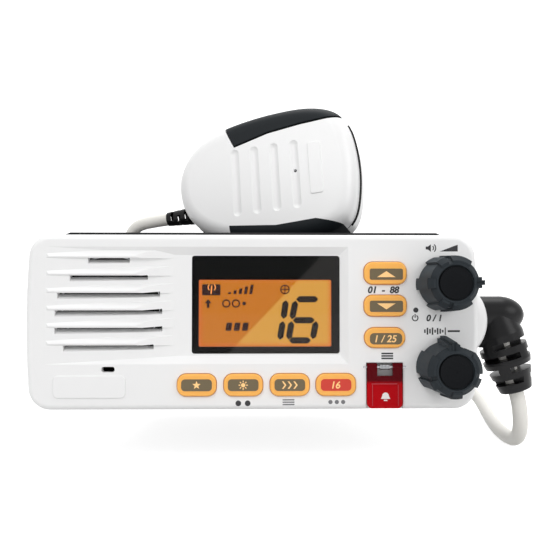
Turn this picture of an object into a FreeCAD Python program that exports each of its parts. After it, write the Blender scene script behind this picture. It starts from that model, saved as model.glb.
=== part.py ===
import FreeCAD, Part
import math
import os

os.makedirs("parts", exist_ok=True)
Vec = FreeCAD.Vector

# Frame, in millimetres: +X to the viewer's right, +Y to the back, +Z up.
# The origin is the middle of the gimbal axis, between the two threaded side bosses.

# Front panel
face_y = -60.0
panel_w = 185.0
panel_h = 71.5
panel_depth = 18.0
side_bow = 1.7
corner_r = 9.2
edge_round = 2.4
wall = 2.6
front_wall = 4.2
panel_back = face_y + panel_depth
wall_back = face_y + front_wall

# Shallow recess that holds the grille and the display
recess_left = -84.3
recess_full = -30.0
recess_right = 38.8
recess_low = -17.1
recess_high = 30.7
recess_deep = 2.2
recess_facet = 3.3

# Speaker grille
grille_x = -58.9
slot_top_z = 24.7
slot_pitch = 7.1
slot_h = 2.6
slot_halves = [8.4, 15.7, 20.7, 21.6, 21.7, 18.2]
slot_rise = 2.15
ridge_left = -84.0
ridge_right = -31.8
ridge_h = 1.3
ridge_run = 4.1
drain_w = 5.4
drain_h = 2.2
drain_z = -19.2
plaque_x = -66.4
plaque_z = -26.2
plaque_w = 29.2
plaque_h = 9.1
plaque_lift = 0.5

# Display
window_x = 5.1
window_z = 7.05
window_w = 60.8
window_h = 40.3
window_r = 1.2
flange_t = 1.0
flange_lip = 1.6
lcd_x = 4.8
lcd_z = 3.5
lcd_w = 54.8
lcd_h = 27.6
lcd_border = 1.6
lcd_t = 2.2
mask_t = 0.3
backlight_t = 2.4

# Keys, each with its middle and its size on the face
key_gap = 0.25
key_lift = 1.3
key_flange = 1.0
key_flange_t = 1.0
key_travel = 0.8
key_stem_r = 1.5
key_round = 0.7
keys = {
    "channel_up_key": (53.9, 19.95, 17.4, 9.1, 3.6),
    "channel_down_key": (53.9, 6.65, 17.4, 8.6, 3.4),
    "power_level_key": (53.6, -6.4, 16.6, 8.2, 4.0),
    "first_key": (-22.95, -25.5, 15.8, 9.0, 3.6),
    "second_key": (-4.1, -25.5, 15.8, 9.0, 3.6),
    "third_key": (14.8, -25.5, 16.0, 9.0, 3.6),
    "red_key": (33.6, -25.5, 16.2, 9.0, 3.6),
}

# Board behind the panel, with the small switches under the keys
board_gap = 10.2
board_t = 1.6
switch_side = 5.0
switch_t = 1.0
switch_tip_r = 1.2
switch_tip = 0.6
switch_gap = 0.9
guide_t = 1.4
guide_gap = 0.6
board_margin = 3.0
board_front = face_y + board_gap
switch_top = board_front - switch_t - switch_tip

# Knobs
knob_x = 77.9
volume_z = 15.6
squelch_z = -18.5
knob_r = 10.4
knob_front_r = 9.6
knob_len = 20.0
knob_gap = 0.5
lobe_h = 1.1
disc_r = 6.2
bevel_in = 2.0
bevel_deep = 2.4
disc_groove = 0.8
pointer_r = 12.9
pointer_front_r = 11.3
pointer_w = 4.3
pointer_tip_w = 1.8
shaft_r = 2.5
shaft_gap = 0.03
bush_r = 3.6
shaft_end = 3.6
pot_side = 12.0
volume_pointer = 1.0
squelch_pointer = 93.0
lobes = [(50, 98), (109, 130), (168, 192), (230, 251), (262, 310)]

# Flip cover over the distress button
cover_x = 53.6
cover_w = 14.6
cover_top = -16.8
cover_low = -35.2
cover_gap = 0.25
cover_t = 1.6
cover_proud = 1.2
pocket_deep = 3.0
cover_side_t = 1.3
hinge_r = 1.6
hinge_y = face_y + 0.4
hinge_z = cover_top - hinge_r
hinge_pin_r = 0.6
hinge_gap = 0.05
notch_w = 6.4
spring_wire_r = 0.28
button_w = 7.0
button_h = 6.0
button_z = -28.4
button_lift = 1.2

# Chassis
side_inset = 13.5
chassis_w = panel_w - 2 * side_inset
chassis_top = 34.0
chassis_low = -33.0
chassis_back = 78.0
fin_len = 12.0
fin_t = 2.2
fin_pitch = 8.0
chassis_wall = 3.0
rear_wall = 5.0
flange_top = 38.1
flange_low = -34.5
flange_side = 8.0
flange_bar = 4.0
flange_ramp_w = 7.5
flange_ramp_h = 3.4
gasket_t = 1.2
cover_plate_t = 2.0
chassis_round = 3.0

# Gimbal bosses and inserts
boss_r = 11.0
boss_h = 4.0
insert_r = 4.0
insert_bore = 2.5
insert_len = 9.0

# Fasteners
screw_r = 1.5
screw_head_r = 2.8
screw_head_t = 1.8
post_r = 3.4

# Rear sockets
antenna_x = -48.0
antenna_z = 8.0
antenna_r = 7.94
antenna_len = 12.0
antenna_base = 25.0
antenna_base_t = 3.0
antenna_bore = 2.1
power_x = 44.0
power_z = -8.0
grommet_r = 6.0
grommet_bore = 3.5
jack_x = 20.0
jack_z = -19.5
jack_r = 4.5
jack_bore = 1.78
jack_len = 13.0

# Elbow where the cord leaves the panel's side
elbow_y = -38.0
elbow_z = 2.4
barrel_r = 8.1
barrel_root = panel_w / 2 - 9.5
collar_h = 1.2
collar_t = 2.0
barrel_dome = panel_w / 2 + 15.0
barrel_end = barrel_dome + 11.1
hood_r = 18.0
hood_over = 6.3
hood_z = 0.2
hood_front = -55.0
hood_back = -27.5
hood_round = 5.0
boot_x = barrel_dome - 2.3
boot_tilt = 17.0
boot_start_r = 8.0
boot_wide_r = 10.3
boot_wide_at = 9.0
boot_even_at = 21.0
boot_end_r = 6.9
boot_len = 34.6
boot_slots = [(13.2, 35.0), (18.6, 125.0), (24.2, 60.0), (29.4, 125.0)]
boot_slot_h = 2.5
boot_web = 5.2
boot_solid = 11.0

# Cord
cord_d = 6.6
cord_gap = 0.05
curl_d = 20.0
tail_route = [
    (boot_x + 11.0, -37.2, -41.0),
    (boot_x + 11.4, -32.5, -48.6),
    (boot_x + 12.0, -25.0, -53.4),
    (boot_x + 13.0, -15.0, -55.0),
    (boot_x + 14.8, -2.0, -55.5),
    (boot_x + 17.3, 14.0, -55.5),
    (boot_x + 20.6, 34.0, -54.8),
    (boot_x + 24.3, 56.0, -53.0),
    (boot_x + 26.8, 79.0, -49.0),
    (boot_x + 22.8, 101.0, -44.5),
    (112.5, 121.5, -39.0),
    (92.0, 124.0, -40.7),
]
curl_route = [
    (92.0, 124.0, -40.7),
    (66.375, 127.125, -42.825),
    (38.0, 127.5, -42.0),
    (10.0, 127.5, -37.0),
    (-16.0, 127.0, -29.0),
    (-38.0, 126.0, -19.0),
]
lead_route = [
    (-38.0, 126.0, -19.0),
    (-49.0, 125.5, -14.0),
    (-62.0, 123.5, -5.0),
    (-70.0, 119.0, 10.0),
    (-73.0, 110.0, 27.0),
    (-73.0, 96.0, 38.5),
    (-72.5, 80.0, 41.5),
    (-72.0, 66.0, 42.8),
    (-70.5, 56.0, 46.0),
    (-65.0, 47.5, 49.8),
]

# Handset, in its own frame: u along its length, w across, n out of its front
mic_x = 7.5
mic_y = 16.0
mic_z = 68.0
mic_yaw = 18.0
mic_lean = 8.0
mic_roll = 6.0
mic_outline = [
    (-45.5, 0.0),
    (-42.6, 12.5),
    (-32.0, 24.0),
    (-12.0, 31.0),
    (12.0, 33.5),
    (30.0, 32.0),
    (40.5, 26.5),
    (45.3, 14.0),
    (46.5, 0.0),
]
mic_front_t = 15.0
mic_rear_t = 16.0
mic_front_round = 7.0
mic_rear_round = 6.0
mic_wall = 2.2
seam_t = 0.9
seam_in = 0.5
flute_us = [-13.2, -3.0, 7.2, 17.4]
flute_low = -20.5
flute_high = 17.0
flute_r = 3.6
flute_deep = 0.75
mic_plaque_u = 27.6
mic_plaque_w = 6.4
mic_plaque_h = 26.0
mic_plaque_lift = 0.4
mic_hole_u = 17.4
mic_hole_r = 0.8
talk_left = -33.0
talk_edge = [(-13.4, 16.6), (4.7, 21.1), (21.4, 23.0), (41.5, 24.2)]
talk_travel = 0.9
talk_gap = 1.1
talk_back = -7.0
rail_w = 17.0
grip_left = -18.0
grip_edge = [(-18.0, -23.2), (6.0, -26.0), (26.0, -25.2), (41.5, -29.5)]
grip_depth = 1.6
grip_back = -9.0
relief_w = -9.0
relief_n = -6.5
relief_r = 4.9
relief_end_r = 3.7
relief_from = -43.5
relief_to = -60.0
element_r = 4.8
element_t = 6.0
stud_r = 6.0
stud_neck_r = 3.2
stud_len = 7.0
stud_head_t = 2.4

radii_seen = []


def save(shape, name):
    shape.exportStep("parts/" + name + ".step")


def block(x0, x1, y0, y1, z0, z1):
    return Part.makeBox(x1 - x0, y1 - y0, z1 - z0, Vec(x0, y0, z0))


def rod_y(x, z, r, y0, y1):
    return Part.makeCylinder(r, y1 - y0, Vec(x, y0, z), Vec(0, 1, 0))


def rod_x(y, z, r, x0, x1):
    return Part.makeCylinder(r, x1 - x0, Vec(x0, y, z), Vec(1, 0, 0))


def rod_z(x, y, r, z0, z1):
    return Part.makeCylinder(r, z1 - z0, Vec(x, y, z0), Vec(0, 0, 1))


def prism(points, way):
    """A flat polygon through the points, drawn out along a vector."""
    wire = Part.makePolygon([Vec(*p) for p in points] + [Vec(*points[0])])
    return Part.Face(wire).extrude(Vec(*way))


def solid_of(loops):
    """A closed solid whose flat faces are the given loops of points."""
    faces = [
        Part.Face(Part.makePolygon([Vec(*p) for p in loop] + [Vec(*loop[0])]))
        for loop in loops
    ]
    return Part.makeSolid(Part.makeShell(faces))


def pill(x, z, w, h, r, y0, y1):
    """A plate with rounded corners, flat on the front, from y0 to y1."""
    plate = block(x - w / 2, x + w / 2, y0, y1, z - h / 2, z + h / 2)
    upright = [e for e in plate.Edges if abs(e.tangentAt(e.FirstParameter).y) > 0.9]
    return plate.makeFillet(r, upright)


def softened(shape, r, keep):
    """The shape with the edges rounded that keep() picks by their middle point."""
    picked = [e for e in shape.Edges if keep(e.valueAt(e.getParameterByLength(e.Length / 2)))]
    return shape.makeFillet(r, picked)


def joined(shapes):
    whole = shapes[0]
    for s in shapes[1:]:
        whole = whole.fuse(s)
    return whole.removeSplitter()


def bowed_plate(w, h, r, y0, y1):
    """The panel's outline as a plate: straight top and bottom, sides bowed outwards."""
    cx = w / 2 - side_bow
    top = Part.LineSegment(Vec(-cx, y0, h / 2), Vec(cx, y0, h / 2))
    right = Part.Arc(Vec(cx, y0, h / 2), Vec(w / 2, y0, 0), Vec(cx, y0, -h / 2))
    low = Part.LineSegment(Vec(cx, y0, -h / 2), Vec(-cx, y0, -h / 2))
    left = Part.Arc(Vec(-cx, y0, -h / 2), Vec(-w / 2, y0, 0), Vec(-cx, y0, h / 2))
    face = Part.Face(Part.Wire([e.toShape() for e in (top, right, low, left)]))
    plate = face.extrude(Vec(0, y1 - y0, 0))
    upright = [e for e in plate.Edges if abs(e.tangentAt(e.FirstParameter).y) > 0.9]
    return plate.makeFillet(r, upright)


def key_places():
    return [(name, *spec) for name, spec in keys.items()]


# Front panel

post_x = panel_w / 2 - wall - side_bow - post_r - 1.5
post_z = panel_h / 2 - wall - post_r - 1.0
posts = [(sx * post_x, sz * post_z) for sx in (-1, 1) for sz in (-1, 1)]
hood_x = panel_w / 2 + hood_over - hood_r


def hood():
    """The rounded hood on the right side, around the root of the elbow."""
    drum = rod_y(hood_x, hood_z, hood_r, hood_front, hood_back)
    drum = softened(drum, hood_round, lambda p: p.y < hood_front + 0.1)
    keep = block(chassis_w / 2 + flange_side + 0.6, panel_w, hood_front - 1, hood_back + 1, -40, 40)
    return drum.common(keep)


def recess_cut():
    """The shallow pocket: nothing deep at its left end, full depth from recess_full on."""
    y0, y1 = face_y, face_y + recess_deep
    front = [
        (recess_left, y0, recess_low), (recess_right, y0, recess_low),
        (recess_right, y0, recess_high), (recess_left, y0, recess_high),
    ]
    low, high = recess_low + recess_facet, recess_high - recess_facet
    right = recess_right - recess_facet
    a, b = (recess_left, y0, recess_low), (recess_left, y0, recess_high)
    c, d = (recess_full, y1, low), (recess_full, y1, high)
    e, f = (right, y1, low), (right, y1, high)
    g, h = front[1], front[2]
    loops = [front, [a, b, d, c], [c, d, f, e], [b, h, f, d], [a, c, e, g], [g, e, f, h]]
    return solid_of(loops)


def slots():
    """Slots of the grille: each rises as it goes in, so that only a thin slit shows through."""
    cuts = []
    for i, half in enumerate(slot_halves):
        z = slot_top_z - i * slot_pitch
        x0 = grille_x - half
        z0, z1 = z - slot_h / 2, z + slot_h / 2
        back = wall_back + 0.5
        rise = slot_rise * (back - face_y) / front_wall
        side = [(x0, face_y - 2, z0), (x0, face_y, z0), (x0, back, z0 + rise)]
        side += [(x0, back, z1 + rise), (x0, face_y, z1), (x0, face_y - 2, z1)]
        cuts.append(prism(side, (2 * half, 0, 0)))
    return cuts


def ridges():
    """Louvre ridges above the slots, steep below and rounded above, ramped at both ends."""
    ramp = prism(
        [
            (ridge_left, face_y + 2.5, -40), (ridge_left, face_y, -40),
            (ridge_left + 3.5, face_y - ridge_h, -40), (ridge_right - 22, face_y - ridge_h, -40),
            (ridge_right, face_y + recess_deep, -40), (ridge_right, face_y + 2.5, -40),
        ],
        (0, 0, 80),
    )
    made = []
    for i in range(len(slot_halves)):
        z = slot_top_z - i * slot_pitch + slot_h / 2
        base, crest = face_y + recess_deep + 0.2, face_y + recess_deep / 2 - ridge_h - 0.2
        a, b = Vec(ridge_left, base, z), Vec(ridge_left, crest + 0.5, z)
        c = Vec(ridge_left, crest, z + 0.6)
        m = Vec(ridge_left, crest + 0.75, z + 0.6 * ridge_run)
        d = Vec(ridge_left, base, z + ridge_run)
        wire = Part.Wire([
            Part.LineSegment(a, b).toShape(), Part.LineSegment(b, c).toShape(),
            Part.Arc(c, m, d).toShape(), Part.LineSegment(d, a).toShape(),
        ])
        bar = Part.Face(wire).extrude(Vec(ridge_right - ridge_left, 0, 0))
        made.append(bar.common(ramp))
    return made


def make_front_panel():
    shell = bowed_plate(panel_w, panel_h, corner_r, face_y, panel_back)
    shell = softened(shell, edge_round, lambda p: p.y < face_y + 0.01)
    hollow = bowed_plate(
        panel_w - 2 * wall, panel_h - 2 * wall, corner_r - wall, wall_back, panel_back + 1
    )
    shell = shell.fuse(hood()).cut(hollow)
    shell = shell.cut(recess_cut())
    shell = joined([shell] + ridges())
    shell = shell.cut(block(-panel_w / 2, recess_right, wall_back, panel_back, -30, 31)
                      .common(hollow))
    for cut in slots():
        shell = shell.cut(cut)
    plaque = pill(plaque_x, plaque_z, plaque_w, plaque_h, 2.0,
                  face_y - plaque_lift, face_y + 1)
    plaque = softened(plaque, 0.3, lambda p: p.y < face_y - plaque_lift + 0.01)
    shell = shell.fuse(plaque)
    shell = shell.cut(pill(grille_x, drain_z, drain_w, drain_h, 0.9, face_y - 1, wall_back + 1))
    shell = shell.cut(pill(window_x, window_z, window_w, window_h, window_r,
                           face_y - 1, wall_back + 1))
    for _, x, z, w, h, r in key_places():
        shell = shell.cut(pill(x, z, w + 2 * key_gap, h + 2 * key_gap, r + key_gap,
                               face_y - 1, wall_back + 1))
    for z in (volume_z, squelch_z):
        shell = shell.cut(rod_y(knob_x, z, bush_r + 0.1, face_y - 1, wall_back + 1))
    side = cover_w / 2 + cover_gap
    shell = shell.cut(block(cover_x - side, cover_x + side, face_y - 1, face_y + pocket_deep,
                            -panel_h, cover_top + cover_gap))
    shell = shell.cut(block(cover_x - button_w / 2 - key_gap, cover_x + button_w / 2 + key_gap,
                            face_y, wall_back + 1, button_z - button_h / 2 - key_gap,
                            button_z + button_h / 2 + key_gap))
    shell = shell.cut(rod_x(hinge_y, hinge_z, hinge_pin_r, cover_x - side - 1.2,
                            cover_x + side + 1.2))
    for x, z in posts:
        shell = shell.fuse(rod_y(x, z, post_r, wall_back - 0.2, panel_back))
        shell = shell.cut(rod_y(x, z, screw_r, wall_back + 3, panel_back + 1))
    shell = shell.cut(rod_x(elbow_y, elbow_z, barrel_r, barrel_root, panel_w))
    return shell.removeSplitter()


# Display

def make_display_window():
    fit = 0.1
    pad = pill(window_x, window_z, window_w - 2 * fit, window_h - 2 * fit, window_r - fit,
               face_y + recess_deep, wall_back)
    lip = pill(window_x, window_z, window_w + 2 * flange_lip, window_h + 2 * flange_lip,
               window_r + flange_lip, wall_back, wall_back + flange_t)
    return pad.fuse(lip).removeSplitter()


mask_front = wall_back + flange_t
lcd_front = mask_front + mask_t
backlight_front = lcd_front + lcd_t
holder_w = window_w + 2 * flange_lip
holder_h = window_h + 2 * flange_lip


def make_display_mask():
    sheet = pill(window_x, window_z, holder_w, holder_h, 1.0, mask_front, lcd_front)
    return sheet.cut(pill(lcd_x, lcd_z, lcd_w, lcd_h, 0.6, mask_front - 1, lcd_front + 1))


def lcd_block(y0, y1, grow):
    w, h = lcd_w / 2 + lcd_border + grow, lcd_h / 2 + lcd_border + grow
    return block(lcd_x - w, lcd_x + w, y0, y1, lcd_z - h, lcd_z + h)


def make_lcd_holder():
    frame = pill(window_x, window_z, holder_w, holder_h, 1.0, lcd_front, board_front)
    return frame.cut(lcd_block(lcd_front - 1, board_front + 1, 0.1))


# Speaker

speaker_z = slot_top_z - 2.5 * slot_pitch
speaker_r = 23.0
speaker_front = wall_back + 1.5
speaker_depth = 9.0
magnet_r = 11.0
magnet_t = 5.0


def ring_y(x, z, r_out, r_in, y0, y1):
    return rod_y(x, z, r_out, y0, y1).cut(rod_y(x, z, r_in, y0 - 1, y1 + 1))


def make_speaker_frame():
    rim = ring_y(grille_x, speaker_z, speaker_r, speaker_r - 3.0,
                 speaker_front, speaker_front + 1.2)
    outer = Part.makeCone(speaker_r - 1.5, magnet_r + 1.5, speaker_depth - 1.2,
                          Vec(grille_x, speaker_front + 1.2, speaker_z), Vec(0, 1, 0))
    inner = Part.makeCone(speaker_r - 3.0, magnet_r - 1.0, speaker_depth - 1.2,
                          Vec(grille_x, speaker_front + 1.2, speaker_z), Vec(0, 1, 0))
    basket = outer.cut(inner)
    for k in range(4):
        window = Part.makeBox(11, speaker_depth - 4, 60, Vec(-5.5, 0, 0))
        window.rotate(Vec(0, 0, 0), Vec(0, 1, 0), 45 + 90 * k)
        window.translate(Vec(grille_x, speaker_front + 2.4, speaker_z))
        basket = basket.cut(window)
    plate = ring_y(grille_x, speaker_z, magnet_r + 1.5, 5.0,
                   speaker_front + speaker_depth, speaker_front + speaker_depth + 1.2)
    return joined([rim, basket, plate])


def make_speaker_cone():
    y0 = speaker_front + 0.4
    rings = [(speaker_r - 3.1, y0), (speaker_r - 5.0, y0 - 0.5), (speaker_r - 6.5, y0 + 0.4),
             (6.0, y0 + 6.0), (0.0, y0 + 4.6)]
    back = [(r, y + 0.5) for r, y in reversed(rings)]
    loop = [(grille_x + r, y, speaker_z) for r, y in rings + back]
    return prism_face(loop).revolve(Vec(grille_x, 0, speaker_z), Vec(0, 1, 0), 360)


def prism_face(points):
    return Part.Face(Part.makePolygon([Vec(*p) for p in points] + [Vec(*points[0])]))


# Keys and the switches under them

def make_key(x, z, w, h, r):
    cap = pill(x, z, w, h, r, face_y - key_lift, wall_back)
    cap = softened(cap, key_round, lambda p: p.y < face_y - key_lift + 0.01)
    lip = pill(x, z, w + 2 * key_flange, h + 2 * key_flange, r, wall_back + 0.03,
               wall_back + 0.03 + key_flange_t)
    lip_joint = pill(x, z, w, h, r, wall_back, wall_back + 0.03)
    stem = rod_y(x, z, key_stem_r, wall_back + 0.5, switch_top - switch_gap)
    return joined([cap, lip_joint, lip, stem])


def switch_places():
    return [(x, z) for _, x, z, _, _, _ in key_places()] + [(cover_x, button_z)]


def make_switches():
    made = []
    for x, z in switch_places():
        s = switch_side / 2
        body = block(x - s, x + s, board_front - switch_t, board_front, z - s, z + s)
        made.append(body.fuse(rod_y(x, z, switch_tip_r, switch_top, board_front - switch_t)))
    return Part.makeCompound([m.removeSplitter() for m in made])


board_left = -38.0
board_right = panel_w / 2 - wall - side_bow - board_margin
board_half = panel_h / 2 - wall - board_margin


def make_panel_board():
    board = block(board_left, board_right, board_front, board_front + board_t,
                  -board_half, board_half)
    for x, z in posts:
        board = board.cut(rod_y(x, z, post_r + 0.4, board_front - 1, board_front + board_t + 1))
    return board


guide_left = window_x + window_w / 2 + flange_lip + 1.0
guide_right = knob_x - pot_side / 2 - 1.5


def make_light_guide():
    upper = block(guide_left, guide_right, board_front - guide_t, board_front,
                  cover_top + 2.0, board_half - 2)
    lower = block(board_left + 1, guide_right, board_front - guide_t, board_front,
                  -board_half + 1, window_z - window_h / 2 - flange_lip - 1.0)
    guide = joined([upper, lower.cut(block(guide_left, guide_right, -80, 0, -17.9, -15.0))])
    s = switch_side / 2 + guide_gap
    for x, z in switch_places():
        guide = guide.cut(block(x - s, x + s, board_front - 9, board_front + 1, z - s, z + s))
    return guide


# Controls

def make_pot(z):
    s = pot_side / 2
    body = block(knob_x - s, knob_x + s, wall_back, board_front, z - s, z + s)
    body = body.fuse(rod_y(knob_x, z, bush_r, face_y + 0.6, wall_back))
    return body.cut(rod_y(knob_x, z, shaft_r + shaft_gap, face_y - 1,
                          board_front - 0.8)).removeSplitter()


def make_shaft(z):
    return rod_y(knob_x, z, shaft_r, face_y - knob_gap - knob_len + shaft_end,
                 board_front - 1.0)


def knob_profile(base_r, front_r, face):
    """Points of radius and distance out from the knob's base, from its rim to its axis."""
    top = knob_len
    rim = [(base_r, 0), (base_r, 0.8), (front_r, top - bevel_deep), (front_r - bevel_in, top)]
    return rim + face


def turned(points, start, sweep):
    loop = [(r, -d, 0) for r, d in points]
    body = prism_face(loop).revolve(Vec(0, 0, 0), Vec(0, 1, 0), sweep)
    body.rotate(Vec(0, 0, 0), Vec(0, 1, 0), -start)
    return body


def make_knob(z, pointer):
    """Pointer and lobes are at angles read from the front, counter-clockwise from +X."""
    top = knob_len
    dish = [(disc_r + disc_groove, top), (disc_r + disc_groove, top - 1.4),
            (disc_r, top - 1.4), (disc_r, top - 0.5), (disc_r * 0.6, top - 0.75),
            (0, top - 0.85), (0, 0)]
    body = turned(knob_profile(knob_r, knob_front_r, dish), 0, 360)
    pieces = [body]
    for low, high in lobes:
        rim = knob_profile(knob_r + lobe_h, knob_front_r + lobe_h, [(disc_r + 1.2, top - 0.3)])
        rim += [(disc_r + 1.2, 0)]
        pieces.append(turned(rim, high, high - low))
    for w, base_r, front_r, far in (
        (pointer_w, pointer_r - 0.9, knob_front_r + 0.6, top - 0.9),
        (pointer_tip_w, pointer_r, pointer_front_r, top - 0.5),
    ):
        fin = prism([(disc_r + 1.2, 0, -w / 2), (base_r, 0, -w / 2), (base_r, -3.5, -w / 2),
                     (front_r, -far, -w / 2), (disc_r + 1.2, -far, -w / 2)], (0, 0, w))
        pieces.append(fin)
    knob = joined(pieces)
    mark = Part.makeBox(pointer_front_r - disc_r, 1.2, 0.9, Vec(disc_r + 1.8, -top - 0.2, -0.45))
    knob = knob.cut(mark)
    knob = knob.cut(rod_y(0, 0, shaft_r, shaft_end - knob_len, 1))
    knob.rotate(Vec(0, 0, 0), Vec(0, 1, 0), -pointer)
    knob.translate(Vec(knob_x, face_y - knob_gap, z))
    return knob


# Flip cover and the button under it

def make_cover():
    x0, x1 = cover_x - cover_w / 2, cover_x + cover_w / 2
    front = face_y - cover_proud
    low = cover_low
    shell = block(x0, x1, front, face_y + pocket_deep - 0.4, low, hinge_z)
    shell = softened(shell, 2.2, lambda p: p.z < low + 0.1 and abs(p.x - cover_x) > 7
                     and abs(p.y - face_y) < 3)
    shell = softened(shell, 0.6, lambda p: p.y < front + 0.01 and p.z < hinge_z - 0.1)
    inner = block(x0 + cover_side_t, x1 - cover_side_t, front + cover_t, face_y + 9,
                  low + cover_side_t, hinge_z + 1)
    shell = shell.cut(inner)
    behind_hinge = block(x0 - 1, x1 + 1, hinge_y, face_y + 9, hinge_z - hinge_r - 0.4,
                         hinge_z + 2)
    shell = shell.cut(behind_hinge)
    barrel = rod_x(hinge_y, hinge_z, hinge_r, x0, x1)
    cover = joined([shell, barrel])
    notch = block(cover_x - notch_w / 2, cover_x + notch_w / 2, front - 1, face_y + 9,
                  hinge_z - hinge_r - 1.9, cover_top + 1)
    cover = cover.cut(notch)
    cover = cover.cut(rod_x(hinge_y, hinge_z, hinge_pin_r + hinge_gap, x0 - 1, x1 + 1))
    lip = block(cover_x - 5.0, cover_x + 5.0, front - 0.35, front + 0.3, -25.6, -24.9)
    return joined([cover, lip])


def make_cover_pin():
    side = cover_w / 2 + cover_gap + 1.2
    return rod_x(hinge_y, hinge_z, hinge_pin_r, cover_x - side, cover_x + side)


def make_cover_spring():
    """Turns of a torsion spring around the pin, with one leg on the pocket's floor."""
    loop_r = hinge_pin_r + 0.12 + spring_wire_r
    turns = []
    count = 7
    pitch = 2 * spring_wire_r + 0.02
    for k in range(count):
        x = cover_x + (k - (count - 1) / 2) * pitch
        turns.append(Part.makeTorus(loop_r, spring_wire_r, Vec(x, hinge_y, hinge_z),
                                    Vec(1, 0, 0)))
    x = cover_x + (count - 1) / 2 * pitch
    leg = Part.makeCylinder(spring_wire_r, face_y + pocket_deep - hinge_y - 0.01,
                            Vec(x, hinge_y, hinge_z - loop_r), Vec(0, 1, 0))
    turns[-1] = turns[-1].fuse(leg).removeSplitter()
    return Part.makeCompound(turns)


def make_distress_button():
    y0 = face_y + pocket_deep - button_lift
    cap = pill(cover_x, button_z, button_w, button_h, 1.0, y0, wall_back)
    cap = softened(cap, 0.4, lambda p: p.y < y0 + 0.01)
    lip = block(cover_x - button_w / 2 - 0.8, cover_x + button_w / 2 + 0.8, wall_back + 0.03,
                wall_back + 1.0, button_z - button_h / 2 - 0.8, button_z + button_h / 2 + 0.8)
    bridge = pill(cover_x, button_z, button_w, button_h, 1.0, wall_back, wall_back + 0.03)
    stem = rod_y(cover_x, button_z, key_stem_r, wall_back + 0.5, switch_top - switch_gap)
    return joined([cap, bridge, lip, stem])


# Chassis

half_w = chassis_w / 2
flange_front = panel_back + gasket_t
flange_back = flange_front + flange_bar


def chamfered_frame(y0, y1, grow):
    x = half_w + flange_side + grow
    top, low = flange_top + grow, flange_low
    a, b = flange_ramp_w, flange_ramp_h
    frame = prism([(-x, y0, low), (x, y0, low), (x, y0, top - b), (x - a, y0, top),
                   (-x + a, y0, top), (-x, y0, top - b)], (0, y1 - y0, 0))
    return frame.cut(rod_x(elbow_y, elbow_z, barrel_r + collar_h + 0.4, half_w + 1, panel_w))


def make_gasket():
    sheet = chamfered_frame(panel_back, flange_front, -0.6)
    opening = block(-half_w + 4.5, half_w - 4.5, panel_back - 1, flange_front + 1,
                    chassis_low + 4.5, chassis_top - 4.5)
    sheet = sheet.cut(opening)
    for x, z in posts:
        sheet = sheet.cut(rod_y(x, z, screw_r + 0.2, panel_back - 1, flange_front + 1))
    return sheet


def cavity():
    return block(-half_w + chassis_wall, half_w - chassis_wall, flange_front - 1,
                 chassis_back - rear_wall, chassis_low + cover_plate_t,
                 chassis_top - chassis_wall)


cover_plate_inset = 5.0
cover_screws = [
    (sx * (half_w - cover_plate_inset - 3), y)
    for sx in (-1, 1) for y in (flange_back + 12, chassis_back - 12)
]
board_z = chassis_low + cover_plate_t + 22.0
main_w = chassis_w - 2 * chassis_wall - 6
main_y0 = flange_back + 6
main_y1 = chassis_back - rear_wall - 6
board_posts = [
    (sx * (main_w / 2 - 6), y) for sx in (-1, 1) for y in (main_y0 + 6, main_y1 - 6)
]


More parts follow.
